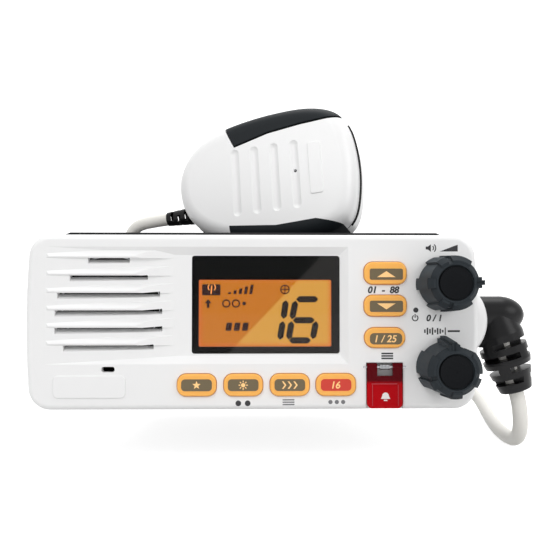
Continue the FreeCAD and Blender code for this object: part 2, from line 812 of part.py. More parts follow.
def make_chassis():
    body = block(-half_w, half_w, flange_front + 1, chassis_back, chassis_low, chassis_top)
    body = softened(body, chassis_round,
                    lambda p: abs(p.y) < 60 and abs(abs(p.x) - half_w) < 0.1 and p.y > 0
                    and (p.z > chassis_top - 0.1 or p.z < chassis_low + 0.1))
    body = body.fuse(chamfered_frame(flange_front, flange_back, 0))
    for sx in (-1, 1):
        start = half_w - 1 if sx > 0 else -half_w - boss_h
        body = body.fuse(rod_x(0, 0, boss_r, start, start + boss_h + 1))
    body = body.cut(cavity())
    body = body.cut(block(-half_w + cover_plate_inset, half_w - cover_plate_inset,
                          flange_back + 6, chassis_back - 6, chassis_low - 1,
                          chassis_low + cover_plate_t + 0.01))
    ledge = []
    for x, y in cover_screws:
        ledge.append(rod_z(x, y, post_r, chassis_low + cover_plate_t, chassis_low + 9))
        if abs(x) + post_r < half_w - chassis_wall:
            reach = half_w - chassis_wall + 0.5
            lo, hi = sorted((x, math.copysign(reach, x)))
            ledge.append(block(lo, hi, y - 1.5, y + 1.5, chassis_low + cover_plate_t,
                               chassis_low + 9))
    for x, y in board_posts:
        ledge.append(rod_z(x, y, post_r, board_z + board_t, chassis_top - 1))
    body = joined([body] + ledge)
    for x, y in cover_screws:
        body = body.cut(rod_z(x, y, screw_r, chassis_low, chassis_low + 8))
    for x, y in board_posts:
        body = body.cut(rod_z(x, y, screw_r, board_z, board_z + board_t + 6))
    for x, z in posts:
        body = body.cut(rod_y(x, z, screw_r + 0.2, flange_front - 1, flange_back + 1))
    for sx in (-1, 1):
        hole = rod_x(0, 0, insert_r, half_w + boss_h - insert_len, half_w + boss_h + 1)
        if sx < 0:
            hole.rotate(Vec(0, 0, 0), Vec(0, 0, 1), 180)
        back_up = rod_x(0, 0, insert_r + 2.5, half_w - 8, half_w - 2)
        if sx < 0:
            back_up.rotate(Vec(0, 0, 0), Vec(0, 0, 1), 180)
        body = body.fuse(back_up).cut(hole)
    fins = []
    count = int((chassis_w - 10) / fin_pitch)
    for k in range(count + 1):
        x = (k - count / 2) * fin_pitch
        fins.append(block(x - fin_t / 2, x + fin_t / 2, chassis_back - 0.5,
                          chassis_back + fin_len, chassis_low + 3, chassis_top - 3))
    body = joined([body] + fins)
    pad = antenna_base / 2 + 1
    for x, z, r in ((antenna_x, antenna_z, pad), (power_x, power_z, grommet_r + 3),
                    (jack_x, jack_z, jack_r + 3)):
        body = body.cut(block(x - r, x + r, chassis_back, chassis_back + fin_len + 1,
                              z - r, z + r))
    body = body.cut(rod_y(antenna_x, antenna_z, 6.0, chassis_back - rear_wall - 1,
                          chassis_back + 1))
    body = body.cut(rod_y(power_x, power_z, grommet_r, chassis_back - rear_wall - 1,
                          chassis_back + 1))
    body = body.cut(rod_y(jack_x, jack_z, jack_r, chassis_back - rear_wall - 1,
                          chassis_back + 1))
    return body.removeSplitter()


def make_cover_plate():
    gap = 0.2
    plate = block(-half_w + cover_plate_inset + gap, half_w - cover_plate_inset - gap,
                  flange_back + 6 + gap, chassis_back - 6 - gap, chassis_low,
                  chassis_low + cover_plate_t)
    for x, y in cover_screws:
        plate = plate.cut(rod_z(x, y, screw_r, chassis_low - 1, chassis_low + 9))
    return plate


def screw_z(x, y, head_z, length, up):
    """A pan head screw along Z: its head's seat is at head_z and its shank goes towards up."""
    shank = rod_z(x, y, screw_r, min(head_z, head_z + up * length),
                  max(head_z, head_z + up * length))
    low = head_z - screw_head_t if up > 0 else head_z
    head = rod_z(x, y, screw_head_r, low, low + screw_head_t)
    far = low if up > 0 else low + screw_head_t
    head = softened(head, 0.8, lambda p: abs(p.z - far) < 0.01)
    slot = block(x - 2, x + 2, y - 0.4, y + 0.4, far - 0.7, far + 0.7)
    cross = block(x - 0.4, x + 0.4, y - 2, y + 2, far - 0.7, far + 0.7)
    return head.fuse(shank).cut(slot).cut(cross)


def screw_y(x, z, head_y, length):
    """A screw along Y whose head is behind the flange and whose shank goes forward."""
    shank = rod_y(x, z, screw_r, head_y - length, head_y)
    head = rod_y(x, z, screw_head_r, head_y, head_y + screw_head_t)
    head = softened(head, 0.8, lambda p: abs(p.y - head_y - screw_head_t) < 0.01)
    slot = block(x - 2, x + 2, head_y + 1.1, head_y + 3, z - 0.4, z + 0.4)
    return head.fuse(shank).cut(slot)


def make_insert(sign):
    x0 = half_w + boss_h - insert_len
    body = rod_x(0, 0, insert_r, x0, half_w + boss_h)
    body = body.cut(rod_x(0, 0, insert_bore, x0 + 1, half_w + boss_h + 1))
    if sign < 0:
        body.rotate(Vec(0, 0, 0), Vec(0, 0, 1), 180)
    return body


# Inside the chassis

can_h = 8.0
can_t = 0.5
module_h = 9.0


def make_main_board():
    board = block(-main_w / 2, main_w / 2, main_y0, main_y1, board_z, board_z + board_t)
    for x, y in board_posts:
        board = board.cut(rod_z(x, y, screw_r, board_z - 1, board_z + board_t + 1))
    return board


def make_shield_can():
    x0, x1, y0, y1 = -28.0, 34.0, main_y0 + 14, main_y1 - 34
    top = board_z + board_t
    can = block(x0, x1, y0, y1, top, top + can_h)
    can = softened(can, 0.8, lambda p: p.z > top + can_h - 0.01)
    return can.cut(block(x0 + can_t, x1 - can_t, y0 + can_t, y1 - can_t, top - 1,
                         top + can_h - can_t))


def make_power_module():
    """The transmitter's power module, bolted to the rear wall where the fins are."""
    y1 = chassis_back - rear_wall
    body = block(-34.0, 30.0, y1 - 11.5, y1 - 2.5, board_z + board_t + 1.0,
                 board_z + board_t + 1.0 + module_h)
    tab = block(-38.0, 34.0, y1 - 2.5, y1, board_z + board_t + 1.0,
                board_z + board_t + 1.0 + module_h)
    pins = [block(x, x + 0.8, y1 - 8, y1 - 7.2, board_z + board_t, board_z + board_t + 1.2)
            for x in (-26.0, -12.0, 4.0, 18.0)]
    return joined([body, tab] + pins)


def make_board_link():
    """The flat cable's two sockets and the strip between the boards, bent once."""
    y0, y1 = board_front + board_t, main_y0 + 7
    x0, x1 = 8.0, 30.0
    z = board_z + board_t
    plug = block(x0 - 1, x1 + 1, y0, y0 + 3.5, z + 1.0, z + 5.0)
    socket = block(x0 - 1, x1 + 1, y1 - 4, y1, z, z + 4.0)
    strip = block(x0, x1, y0 + 3.5, y1 - 4, z + 1.8, z + 2.2)
    return joined([plug, socket, strip])


def make_antenna_socket():
    y0 = chassis_back
    s = antenna_base / 2
    base = pill(antenna_x, antenna_z, antenna_base, antenna_base, 2.0, y0, y0 + antenna_base_t)
    for dx in (-s + 3.2, s - 3.2):
        for dz in (-s + 3.2, s - 3.2):
            base = base.cut(rod_y(antenna_x + dx, antenna_z + dz, screw_r, y0 - 1, y0 + 9))
    neck = rod_y(antenna_x, antenna_z, antenna_r, y0 + antenna_base_t,
                 y0 + antenna_base_t + antenna_len)
    neck = neck.cut(rod_y(antenna_x, antenna_z, antenna_r - 1.8, y0 + antenna_base_t + 4,
                          y0 + 40))
    core = rod_y(antenna_x, antenna_z, 4.4, y0 + antenna_base_t,
                 y0 + antenna_base_t + antenna_len - 1.5)
    tail = rod_y(antenna_x, antenna_z, 5.5, y0 - rear_wall - 4, y0)
    whole = joined([base, neck, core, tail])
    return whole.cut(rod_y(antenna_x, antenna_z, antenna_bore, y0 + 2, y0 + 40))


def make_grommet():
    y0 = chassis_back - rear_wall
    body = rod_y(power_x, power_z, grommet_r, y0 - 1.5, chassis_back + 6)
    collar = rod_y(power_x, power_z, grommet_r + 1.6, chassis_back, chassis_back + 2.5)
    inner = rod_y(power_x, power_z, grommet_r + 1.6, y0 - 2.5, y0)
    body = joined([body, collar, inner])
    return body.cut(rod_y(power_x, power_z, grommet_bore, y0 - 5, chassis_back + 9))


def make_jack():
    y0 = chassis_back - jack_len + 3
    body = rod_y(jack_x, jack_z, jack_r, y0, chassis_back)
    nut = rod_y(jack_x, jack_z, jack_r + 1.4, chassis_back, chassis_back + 2.4)
    neck = rod_y(jack_x, jack_z, jack_r - 1.2, chassis_back + 2.4, chassis_back + 3.4)
    return joined([body, nut, neck]).cut(
        rod_y(jack_x, jack_z, jack_bore, y0 + 1.5, chassis_back + 9))


# Elbow and boot

boot_way = Vec(math.sin(math.radians(boot_tilt)), 0, -math.cos(math.radians(boot_tilt)))
boot_from = Vec(boot_x, elbow_y, elbow_z)


def along_boot(s):
    return boot_from + boot_way * s


def make_barrel():
    """Turned about its axis: a collar at the root, and a domed outer end."""
    rim = [(barrel_root, 0), (barrel_root, barrel_r + collar_h),
           (barrel_root + collar_t, barrel_r + collar_h), (barrel_root + collar_t, barrel_r),
           (barrel_dome, barrel_r)]
    dome = []
    for k in range(7):
        a = math.pi / 2 * k / 6
        dome.append(Vec(barrel_dome + (barrel_end - barrel_dome) * math.sin(a),
                        barrel_r * math.cos(a), 0))
    curve = Part.BSplineCurve()
    curve.interpolate(dome, InitialTangent=Vec(1, 0, 0), FinalTangent=Vec(0, -1, 0))
    points = [Vec(x, r, 0) for x, r in rim]
    edges = [Part.LineSegment(a, b).toShape() for a, b in zip(points, points[1:])]
    edges += [curve.toShape(), Part.LineSegment(dome[-1], points[0]).toShape()]
    barrel = Part.Face(Part.Wire(edges)).revolve(Vec(0, 0, 0), Vec(1, 0, 0), 360)
    barrel.translate(Vec(0, elbow_y, elbow_z))
    return barrel


def set_on_boot(shape):
    shape.rotate(Vec(0, 0, 0), Vec(0, 1, 0), -boot_tilt)
    shape.translate(boot_from)
    return shape


def boot_slot(s, turn):
    """A ring cut at distance s down the boot, with a web left on each side."""
    low = -s - boot_slot_h / 2
    ring = Part.makeCylinder(2 * boot_wide_r, boot_slot_h, Vec(0, 0, low))
    ring = ring.cut(Part.makeCylinder(cord_d / 2 + cord_gap - 0.01, boot_slot_h + 2,
                                      Vec(0, 0, low - 1)))
    for side in (0, 180):
        web = Part.makeBox(2 * boot_wide_r + 1, boot_web, boot_slot_h + 2,
                           Vec(0, -boot_web / 2, low - 1))
        web.rotate(Vec(0, 0, 0), Vec(0, 0, 1), turn + side)
        ring = ring.cut(web)
    return ring


def make_elbow():
    """A barrel with a domed end, and the ribbed boot that leaves it downwards."""
    profile = [(0, 0), (boot_start_r, 0), (boot_wide_r, boot_wide_at),
               (boot_wide_r, boot_even_at), (boot_end_r, boot_len), (0, boot_len)]
    boot = prism_face([(r, 0, -s) for r, s in profile]).revolve(Vec(0, 0, 0), Vec(0, 0, 1), 360)
    boot = softened(boot, 0.9, lambda p: abs(p.z + boot_len) < 0.01 and abs(p.x) + abs(p.y) > 1)
    whole = make_barrel().fuse(set_on_boot(boot))
    bore = Part.makeCylinder(cord_d / 2 + cord_gap, boot_len - boot_solid + 1,
                             Vec(0, 0, -boot_len - 1))
    whole = whole.cut(set_on_boot(bore))
    for s, turn in boot_slots:
        whole = whole.cut(set_on_boot(boot_slot(s, turn)))
    return whole.removeSplitter()


# Cord

def route_wire(points):
    """Straight runs joined by tangent arcs, each as large as its two runs allow."""
    pts = [Vec(*p) for p in points]
    edges, at = [], pts[0]
    for a, b, c in zip(pts, pts[1:], pts[2:]):
        into, out = (a - b), (c - b)
        turn = math.pi - into.getAngle(out)
        cut = 0.45 * min(into.Length, out.Length)
        radii_seen.append(round(cut / math.tan(turn / 2) / cord_d, 1))
        start = b + into.normalize() * cut
        end = b + out.normalize() * cut
        bisect = (into + out).normalize()
        radius = cut / math.tan(turn / 2)
        middle = b + bisect * (radius / math.cos(turn / 2) - radius)
        edges.append(Part.LineSegment(at, start).toShape())
        edges.append(Part.Arc(start, middle, end).toShape())
        at = end
    edges.append(Part.LineSegment(at, pts[-1]).toShape())
    return Part.Wire(edges)


def cord_tube(points, r):
    wire = route_wire(points)
    way = Vec(*points[1]) - Vec(*points[0])
    ring = Part.Wire([Part.Circle(Vec(*points[0]), way, r).toShape()])
    tube = wire.makePipeShell([ring], True, False)
    exact = math.pi * r * r * wire.Length
    print("cord tube", round(wire.Length, 1), "mm, volume ratio", round(tube.Volume / exact, 4))
    return tube


# Handset

def mic_place(shape):
    """From the handset's own frame, with u as X, n as -Y and w as Z, to its place."""
    placed = shape.copy()
    placed.rotate(Vec(0, 0, 0), Vec(0, 1, 0), -mic_roll)
    placed.rotate(Vec(0, 0, 0), Vec(1, 0, 0), -mic_lean)
    placed.rotate(Vec(0, 0, 0), Vec(0, 0, 1), -mic_yaw)
    placed.translate(Vec(mic_x, mic_y, mic_z))
    return placed


def closed_curve(points):
    curve = Part.BSplineCurve()
    curve.interpolate(Points=points, PeriodicFlag=True)
    return curve


def mic_wire(y, inset):
    """The handset's outline, symmetric about its length, or one lying evenly inside it."""
    points = [Vec(u, y, w) for u, w in mic_outline]
    points += [Vec(u, y, -w) for u, w in reversed(mic_outline[1:-1])]
    curve = closed_curve(points)
    if inset:
        inner = []
        for p in points:
            way = curve.tangent(curve.parameter(p))[0]
            across = Vec(way.z, 0, -way.x)
            if across.dot(Vec(p.x, 0, p.z)) > 0:
                across = across * -1
            inner.append(p + across * inset)
        curve = closed_curve(inner)
    return Part.Wire([curve.toShape()])


def mic_slab(y0, y1, inset, r, front):
    """The handset's outline drawn out from y0 to y1, rounded on its front or its back."""
    slab = Part.Face(mic_wire(y0, inset)).extrude(Vec(0, y1 - y0, 0))
    rounded = y0 if front else y1
    return softened(slab, r, lambda p: abs(p.y - rounded) < 0.01)


mic_face = -mic_front_t
mic_back = seam_t + mic_rear_t


def full_front():
    return mic_slab(mic_face, 0, 0, mic_front_round, True)


def full_rear():
    return mic_slab(seam_t, mic_back, 0, mic_rear_round, False)


def talk_zone(grow, y0, y1):
    edge = [(u, w - grow) for u, w in talk_edge]
    edge = [(edge[0][0] - grow, edge[0][1])] + edge[1:]
    edge[-1] = (edge[-1][0] + grow, edge[-1][1])
    points = [(talk_left - grow, y0, 60.0)] + [(u, y0, w) for u, w in edge]
    points += [(edge[-1][0] + 3.0, y0, 60.0)]
    return prism(points, (0, y1 - y0, 0))


def grip_zone(y0, y1):
    points = [(grip_left, y0, -60.0)] + [(u, y0, w) for u, w in grip_edge]
    points += [(grip_edge[-1][0] + 4.0, y0, -60.0)]
    return prism(points, (0, y1 - y0, 0))


def make_mic_front():
    shell = full_front()
    shell = shell.cut(mic_slab(mic_face + mic_wall, 1, mic_wall, mic_front_round - mic_wall, True))
    plaque = pill(mic_plaque_u, 0, mic_plaque_w, mic_plaque_h, 1.0,
                  mic_face - mic_plaque_lift, mic_face + 1)
    plaque = softened(plaque, 0.3, lambda p: p.y < mic_face - mic_plaque_lift + 0.01)
    shell = shell.fuse(plaque)
    for u in flute_us:
        drop = flute_r - flute_deep
        tool = rod_z(u, mic_face - drop, flute_r, flute_low + flute_r, flute_high - flute_r)
        for w in (flute_low + flute_r, flute_high - flute_r):
            tool = tool.fuse(Part.makeSphere(flute_r, Vec(u, mic_face - drop, w)))
        shell = shell.cut(tool)
    shell = shell.cut(rod_y(mic_hole_u, 0, mic_hole_r, mic_face - 1, mic_face + 4))
    shell = shell.cut(talk_zone(0, mic_face - 1, 1))
    inner = mic_slab(mic_face + grip_depth, 1, grip_depth, mic_front_round - grip_depth, True)
    return shell.cut(grip_zone(mic_face - 1, 1).cut(inner)).removeSplitter()


def make_mic_rear():
    shell = full_rear()
    shell = shell.cut(mic_slab(0, mic_back - mic_wall, mic_wall,
                               mic_rear_round - mic_wall, False))
    shell = shell.cut(talk_zone(0, -1, -talk_back))
    inner = mic_slab(0, mic_back - grip_depth, grip_depth, mic_rear_round - grip_depth, False)
    shell = shell.cut(grip_zone(-1, -grip_back).cut(inner))
    shell = shell.cut(rod_y(0, 0, stud_neck_r, mic_back - 5, mic_back + 1))
    shell = shell.cut(rod_x(-relief_n, relief_w, relief_r, -60, relief_from + 8))
    for u, w in mic_screws:
        shell = shell.fuse(rod_y(u, w, post_r, seam_t + 1, mic_back - 1))
        shell = shell.cut(rod_y(u, w, screw_r, seam_t, mic_back + 1))
        shell = shell.cut(rod_y(u, w, screw_head_r, mic_back - 2.0, mic_back + 1))
    return shell.removeSplitter()


mic_screws = [(-28.0, 8.0), (-28.0, -8.0), (34.0, 12.0), (34.0, -12.0)]


def make_mic_seam():
    ring = Part.Face(mic_wire(0, 0)).extrude(Vec(0, seam_t, 0))
    ring = ring.cut(Part.Face(mic_wire(-1, mic_wall + seam_in)).extrude(Vec(0, 5, 0)))
    return ring.cut(talk_zone(0, -1, 2)).cut(grip_zone(-1, 2))


def make_talk_button():
    whole = full_front().fuse(full_rear())
    whole = whole.fuse(Part.Face(mic_wire(0, 0)).extrude(Vec(0, seam_t, 0))).removeSplitter()
    zone = talk_zone(0, mic_face - 1, -talk_back - 0.1)
    keep = zone.copy()
    keep.translate(Vec(0, 0, talk_gap))
    bar = whole.common(zone).common(keep)
    hollow = mic_slab(mic_face + 2.6, 1, 2.6, mic_front_round - 2.6, True)
    hollow = hollow.fuse(mic_slab(0, mic_back - 3, 2.6, 3.4, False))
    rail = block(-9.0, talk_edge[-1][0] - 8, mic_face + 4.6, -3, rail_w, 45.0)
    rail = rail.common(whole)
    shell = bar.cut(hollow)
    return joined([shell, rail])


def make_grip():
    outer = full_front().fuse(full_rear())
    outer = outer.fuse(Part.Face(mic_wire(0, 0)).extrude(Vec(0, seam_t, 0))).removeSplitter()
    inner = mic_slab(mic_face + grip_depth, 0, grip_depth, mic_front_round - grip_depth, True)
    inner = inner.fuse(mic_slab(seam_t, mic_back - grip_depth, grip_depth,
                                mic_rear_round - grip_depth, False))
    inner = inner.fuse(Part.Face(mic_wire(0, grip_depth)).extrude(Vec(0, seam_t, 0)))
    return outer.cut(inner).common(grip_zone(mic_face - 1, -grip_back))


def make_mic_board():
    return block(-20, 28, -1.6, 0, -15, 15)


def make_mic_element():
    return rod_y(mic_hole_u, 0, element_r, mic_face + mic_wall + 0.6,
                 -1.6).cut(rod_y(mic_hole_u, 0, 1.2, mic_face, mic_face + mic_wall + 1.2))


def make_stud():
    neck = rod_y(0, 0, stud_neck_r, mic_back - mic_wall, mic_back + stud_len - stud_head_t + 0.1)
    head = rod_y(0, 0, stud_r, mic_back + stud_len - stud_head_t, mic_back + stud_len)
    head = softened(head, 0.9, lambda p: p.y > mic_back + stud_len - 0.01)
    nut = rod_y(0, 0, stud_neck_r + 2.0, mic_back - mic_wall - 2.0, mic_back - mic_wall)
    return joined([neck, head, nut])


def make_relief():
    """The ribbed sleeve on the handset's cord end."""
    length = relief_from - relief_to
    sleeve = Part.makeCone(relief_end_r, relief_r, length, Vec(relief_to, -relief_n, relief_w),
                           Vec(1, 0, 0))
    for k in range(3):
        u = relief_to + 2.6 + 4.1 * k
        ring = rod_x(-relief_n, relief_w, 9, u, u + 1.7)
        ring = ring.cut(rod_x(-relief_n, relief_w, cord_d / 2 + 0.05, u - 1, u + 3))
        for side in (0, 180):
            web = Part.makeBox(5, 3.6, 14, Vec(u - 1, -1.8, 0))
            web.rotate(Vec(0, 0, 0), Vec(1, 0, 0), side + (60 if k % 2 else -25))
            web.translate(Vec(0, -relief_n, relief_w))
            ring = ring.cut(web)
        sleeve = sleeve.cut(ring)
    sleeve = sleeve.cut(rod_x(-relief_n, relief_w, cord_d / 2 + 0.05, relief_to - 1,
                              relief_from - 2))
    anchor = rod_x(-relief_n, relief_w, relief_r + 1.4, relief_from + 1.0, relief_from + 4.0)
    anchor = anchor.common(mic_slab(seam_t, mic_back - mic_wall, mic_wall,
                                    mic_rear_round - mic_wall, False))
    neck = rod_x(-relief_n, relief_w, relief_r, relief_from - 0.01, relief_from + 3.0)
    return joined([sleeve, neck, anchor])


def make_talk_switch():
    body = block(10.0, 16.0, -5.6, -1.6, 9.0, 15.0)
    return body.fuse(block(12.0, 14.0, -4.4, -2.8, 15.0, 15.6)).removeSplitter()


def make_talk_spring():
    """A leaf on the board that pushes the talk bar outwards."""
    foot = block(-8.0, -4.0, -1.9, -1.6, 8.0, 14.0)
    leg = block(-8.0, -4.0, -6.0, -1.6, 14.0, 14.3)
    leaf = prism([(-8.0, -6.0, 14.0), (-8.0, -6.0, 14.3), (4.0, -6.0, 16.0), (4.0, -6.0, 15.7)],
                 (0, 2.0, 0))
    return joined([foot, leg, leaf])


def mic_screw(u, w):
    """A countersunk screw through the rear shell's post into the front shell's post."""
    head_y = mic_back - 2.0
    head = rod_y(u, w, screw_head_r, head_y, head_y + 1.4)
    shank = rod_y(u, w, screw_r, -7.0, head_y)
    slot = block(u - 2, u + 2, head_y + 0.8, head_y + 3, w - 0.4, w + 0.4)
    return head.fuse(shank).cut(slot)


def mic_point(u, y, w):
    spot = mic_place(Part.Vertex(u, y, w))
    return (spot.Point.x, spot.Point.y, spot.Point.z)


talk_axis = Vec(*mic_point(0, 0, 0)) - Vec(*mic_point(0, 0, 1))
print("talk axis", [round(c, 5) for c in talk_axis])

boot_end = along_boot(boot_len + 2.0)
tail_start = along_boot(12.0)
tail_points = [tuple(tail_start), tuple(boot_end)] + tail_route
relief_mouth = mic_point(relief_to - 0.1, -relief_n, relief_w)
relief_ahead = mic_point(relief_to - 9.0, -relief_n, relief_w)
lead_points = lead_route + [relief_ahead, relief_mouth]
print("tail", [tuple(round(c, 1) for c in p) for p in tail_points[:2]])
print("lead", [tuple(round(c, 1) for c in p) for p in lead_points[-2:]])


def save_all():
    save(make_front_panel(), "front_panel")
    save(make_display_window(), "display_window")
    save(make_display_mask(), "display_mask")
    save(lcd_block(lcd_front, backlight_front, 0), "lcd_glass")
    save(lcd_block(backlight_front, backlight_front + backlight_t, 0), "lcd_backlight")
    save(make_lcd_holder(), "lcd_holder")
    save(make_speaker_frame(), "speaker_frame")
    save(make_speaker_cone(), "speaker_cone")
    save(rod_y(grille_x, speaker_z, magnet_r, speaker_front + speaker_depth + 1.2,
               speaker_front + speaker_depth + 1.2 + magnet_t), "speaker_magnet")
    save(ring_y(grille_x, speaker_z, speaker_r, speaker_r - 2.5, wall_back, speaker_front),
         "speaker_gasket")
    for name, spec in keys.items():
        save(make_key(*spec), name)
    save(make_switches(), "tact_switches")
    save(make_panel_board(), "panel_board")
    save(make_light_guide(), "key_light_guide")
    for label, z, pointer in (("volume", volume_z, volume_pointer),
                              ("squelch", squelch_z, squelch_pointer)):
        save(make_pot(z), label + "_pot")
        save(make_shaft(z), label + "_shaft")
        save(make_knob(z, pointer), label + "_knob")
    save(make_cover(), "distress_cover")
    save(make_cover_pin(), "cover_pin")
    save(make_cover_spring(), "cover_spring")
    save(make_distress_button(), "distress_button")
    save(make_gasket(), "panel_gasket")
    save(make_chassis(), "chassis")
    save(make_cover_plate(), "bottom_cover")
    case_screws = [screw_z(x, y, chassis_low, 7.5, 1) for x, y in cover_screws]
    case_screws += [screw_y(x, z, flange_back, flange_bar + gasket_t + 8) for x, z in posts]
    save(Part.makeCompound(case_screws), "case_screws")
    save(Part.makeCompound([screw_z(x, y, board_z, 7.0, 1) for x, y in board_posts]),
         "board_screws")
    save(Part.makeCompound([make_insert(1), make_insert(-1)]), "bracket_inserts")
    save(make_main_board(), "main_board")
    save(make_shield_can(), "shield_can")
    save(make_power_module(), "power_module")
    save(make_board_link(), "board_link")
    save(make_antenna_socket(), "antenna_socket")
    save(make_grommet(), "power_grommet")
    save(make_jack(), "speaker_jack")
    save(make_elbow(), "cord_elbow")
    save(cord_tube(tail_points, cord_d / 2), "cord_tail")
    save(cord_tube(curl_route, curl_d / 2), "cord_curl")
    save(cord_tube(lead_points, cord_d / 2), "cord_lead")
    save(mic_place(make_mic_front()), "mic_front_shell")
    save(mic_place(make_mic_rear()), "mic_rear_shell")
    save(mic_place(make_mic_seam()), "mic_seam")
    save(mic_place(make_grip()), "mic_grip")
    save(mic_place(make_talk_button()), "talk_button")
    save(mic_place(make_talk_switch()), "talk_switch")
    save(mic_place(make_talk_spring()), "talk_spring")
    save(mic_place(make_mic_board()), "mic_board")
    save(mic_place(make_mic_element()), "mic_element")
    save(mic_place(Part.makeCompound([mic_screw(u, w) for u, w in mic_screws])), "mic_screws")
    save(mic_place(make_stud()), "hang_stud")
    save(mic_place(make_relief()), "mic_cord_relief")
    print("cord radii over the diameter", radii_seen)


save_all()
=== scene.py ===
import math

import bpy
from mathutils import Matrix, Vector


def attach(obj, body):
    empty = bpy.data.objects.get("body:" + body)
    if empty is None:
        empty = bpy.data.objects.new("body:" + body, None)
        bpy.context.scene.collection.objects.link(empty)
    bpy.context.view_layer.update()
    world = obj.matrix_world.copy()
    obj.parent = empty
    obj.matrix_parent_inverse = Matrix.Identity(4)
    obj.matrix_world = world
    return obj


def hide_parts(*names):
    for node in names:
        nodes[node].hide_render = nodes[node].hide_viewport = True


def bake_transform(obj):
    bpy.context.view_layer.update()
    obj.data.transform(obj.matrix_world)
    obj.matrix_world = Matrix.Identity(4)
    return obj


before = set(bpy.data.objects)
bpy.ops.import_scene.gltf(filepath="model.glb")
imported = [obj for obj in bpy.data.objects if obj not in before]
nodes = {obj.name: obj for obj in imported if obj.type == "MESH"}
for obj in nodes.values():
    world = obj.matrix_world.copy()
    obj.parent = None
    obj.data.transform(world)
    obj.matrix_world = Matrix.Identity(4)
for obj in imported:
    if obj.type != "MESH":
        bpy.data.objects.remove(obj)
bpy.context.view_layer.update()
scene = bpy.context.scene
mm = 0.001

# Camera, where the photograph was taken from
cameraSet = {
    "place": (3.9, -360.0, 10.6),
    "upTilt": 1.247,
    "rightTurn": 1.325,
    "lens": 47.25,
    "sensor": 36.0,
    "nearest": 10.0,
}


def makeCamera(what):
    data = bpy.data.cameras.new("camera")
    data.lens = what["lens"]
    data.sensor_width = what["sensor"]
    data.clip_start = what["nearest"] * mm
    camera = bpy.data.objects.new("camera", data)
    camera.location = Vector(what["place"]) * mm
    camera.rotation_euler = (
        math.radians(90 + what["upTilt"]), 0, -math.radians(what["rightTurn"]))
    scene.collection.objects.link(camera)
    scene.camera = camera


makeCamera(cameraSet)
print("camera placed")

# Microphone cord: straight tail, curly middle, straight lead, all one length of wire
cordSet = {
    "diameter": 6.6,
    "curlRadius": 6.7,
    "curlPitch": 6.7,
    "pointsPerTurn": 14,
    "curlEase": 16.0,
    "length": 1.1,
    "exit": (115.9, -38.0, -32.6),
    "tail": [
        (108.7, -38.0, -9.1), (115.9, -38.0, -32.6), (117.2, -37.8, -41.5),
        (118.4, -34.0, -50.2), (118.8, -26.0, -54.8), (118.8, -15.0, -55.4),
        (120.0, -2.0, -55.5), (122.5, 14.0, -55.5), (125.8, 34.0, -54.8),
        (129.5, 56.0, -53.0), (132.0, 79.0, -49.0), (128.0, 101.0, -44.5),
        (112.5, 121.5, -39.0), (92.0, 124.0, -40.7),
    ],
    "curl": [
        (92.0, 124.0, -40.7), (66.375, 127.125, -42.825), (38.0, 127.5, -42.0),
        (10.0, 127.5, -37.0), (-16.0, 127.0, -29.0), (-38.0, 126.0, -19.0),
    ],
    "lead": [
        (-38.0, 126.0, -19.0), (-49.0, 125.5, -14.0), (-62.0, 123.5, -5.0),
        (-70.0, 119.0, 10.0), (-73.0, 110.0, 27.0), (-73.0, 96.0, 38.5),
        (-72.5, 80.0, 41.5), (-72.0, 66.0, 42.8), (-70.5, 56.0, 46.0),
        (-65.0, 47.5, 49.8), (-55.6, 40.9, 51.1), (-47.1, 38.3, 52.0),
    ],
    "liftFrom": (-0.05, 0.04, 0.0),
    "liftTo": (-0.05, 0.04, 0.046),
}


# How finely every wire is drawn, along it between two points and around it
wireSet = {"order": 3, "alongSteps": 5, "roundSteps": 7}


def nurbsCurve(name, points, radius=0.0):
    curve = bpy.data.curves.new(name, "CURVE")
    curve.dimensions = "3D"
    spline = curve.splines.new("NURBS")
    spline.points.add(len(points) - 1)
    for point, place in zip(spline.points, points):
        point.co = (place[0], place[1], place[2], 1.0)
    spline.order_u = wireSet["order"]
    spline.use_endpoint_u = True
    spline.resolution_u = wireSet["alongSteps"]
    curve.bevel_depth = radius
    curve.bevel_resolution = wireSet["roundSteps"]
    curve.use_fill_caps = radius > 0
    wire = bpy.data.objects.new(name, curve)
    scene.collection.objects.link(wire)
    return wire


def curveMesh(name, points, radius=0.0):
    probe = nurbsCurve("probe", points, radius)
    bpy.context.view_layer.update()
    mesh = bpy.data.meshes.new_from_object(probe)
    mesh.name = name
    curve = probe.data
    bpy.data.objects.remove(probe)
    bpy.data.curves.remove(curve)
    return mesh


def linePoints(points):
    mesh = curveMesh("line", points)
    line = [vertex.co.copy() for vertex in mesh.vertices]
    bpy.data.meshes.remove(mesh)
    return line


# Points of the wire wound around its axis. At both ends the turns and their reach
# grow slowly, so that the wire goes from straight into the curl without a tight bend
def curlPoints(axis, what):
    gone = [0.0]
    for a, b in zip(axis, axis[1:]):
        gone.append(gone[-1] + (b - a).length)
    total = gone[-1]
    perTurn = what["pointsPerTurn"]
    steps = round(total / (what["curlPitch"] * mm) * perTurn)
    ease = what["curlEase"] * mm
    radius = what["curlRadius"] * mm / math.cos(math.pi / perTurn)
    side = Vector((0, 0, 1))
    wound = []
    at = 0
    angle = 0.0
    for step in range(1, steps):
        along = total * step / steps
        while gone[at + 1] < along:
            at += 1
        ahead = (axis[at + 1] - axis[at]).normalized()
        middle = axis[at] + ahead * (along - gone[at])
        side = (side - ahead * side.dot(ahead)).normalized()
        share = min(1.0, along / ease, (total - along) / ease)
        angle += 2 * math.pi / perTurn * share * share
        reach = radius * share * share * (3 - 2 * share)
        around = side * math.cos(angle) + ahead.cross(side) * math.sin(angle)
        wound.append(middle + around * reach)
    return wound


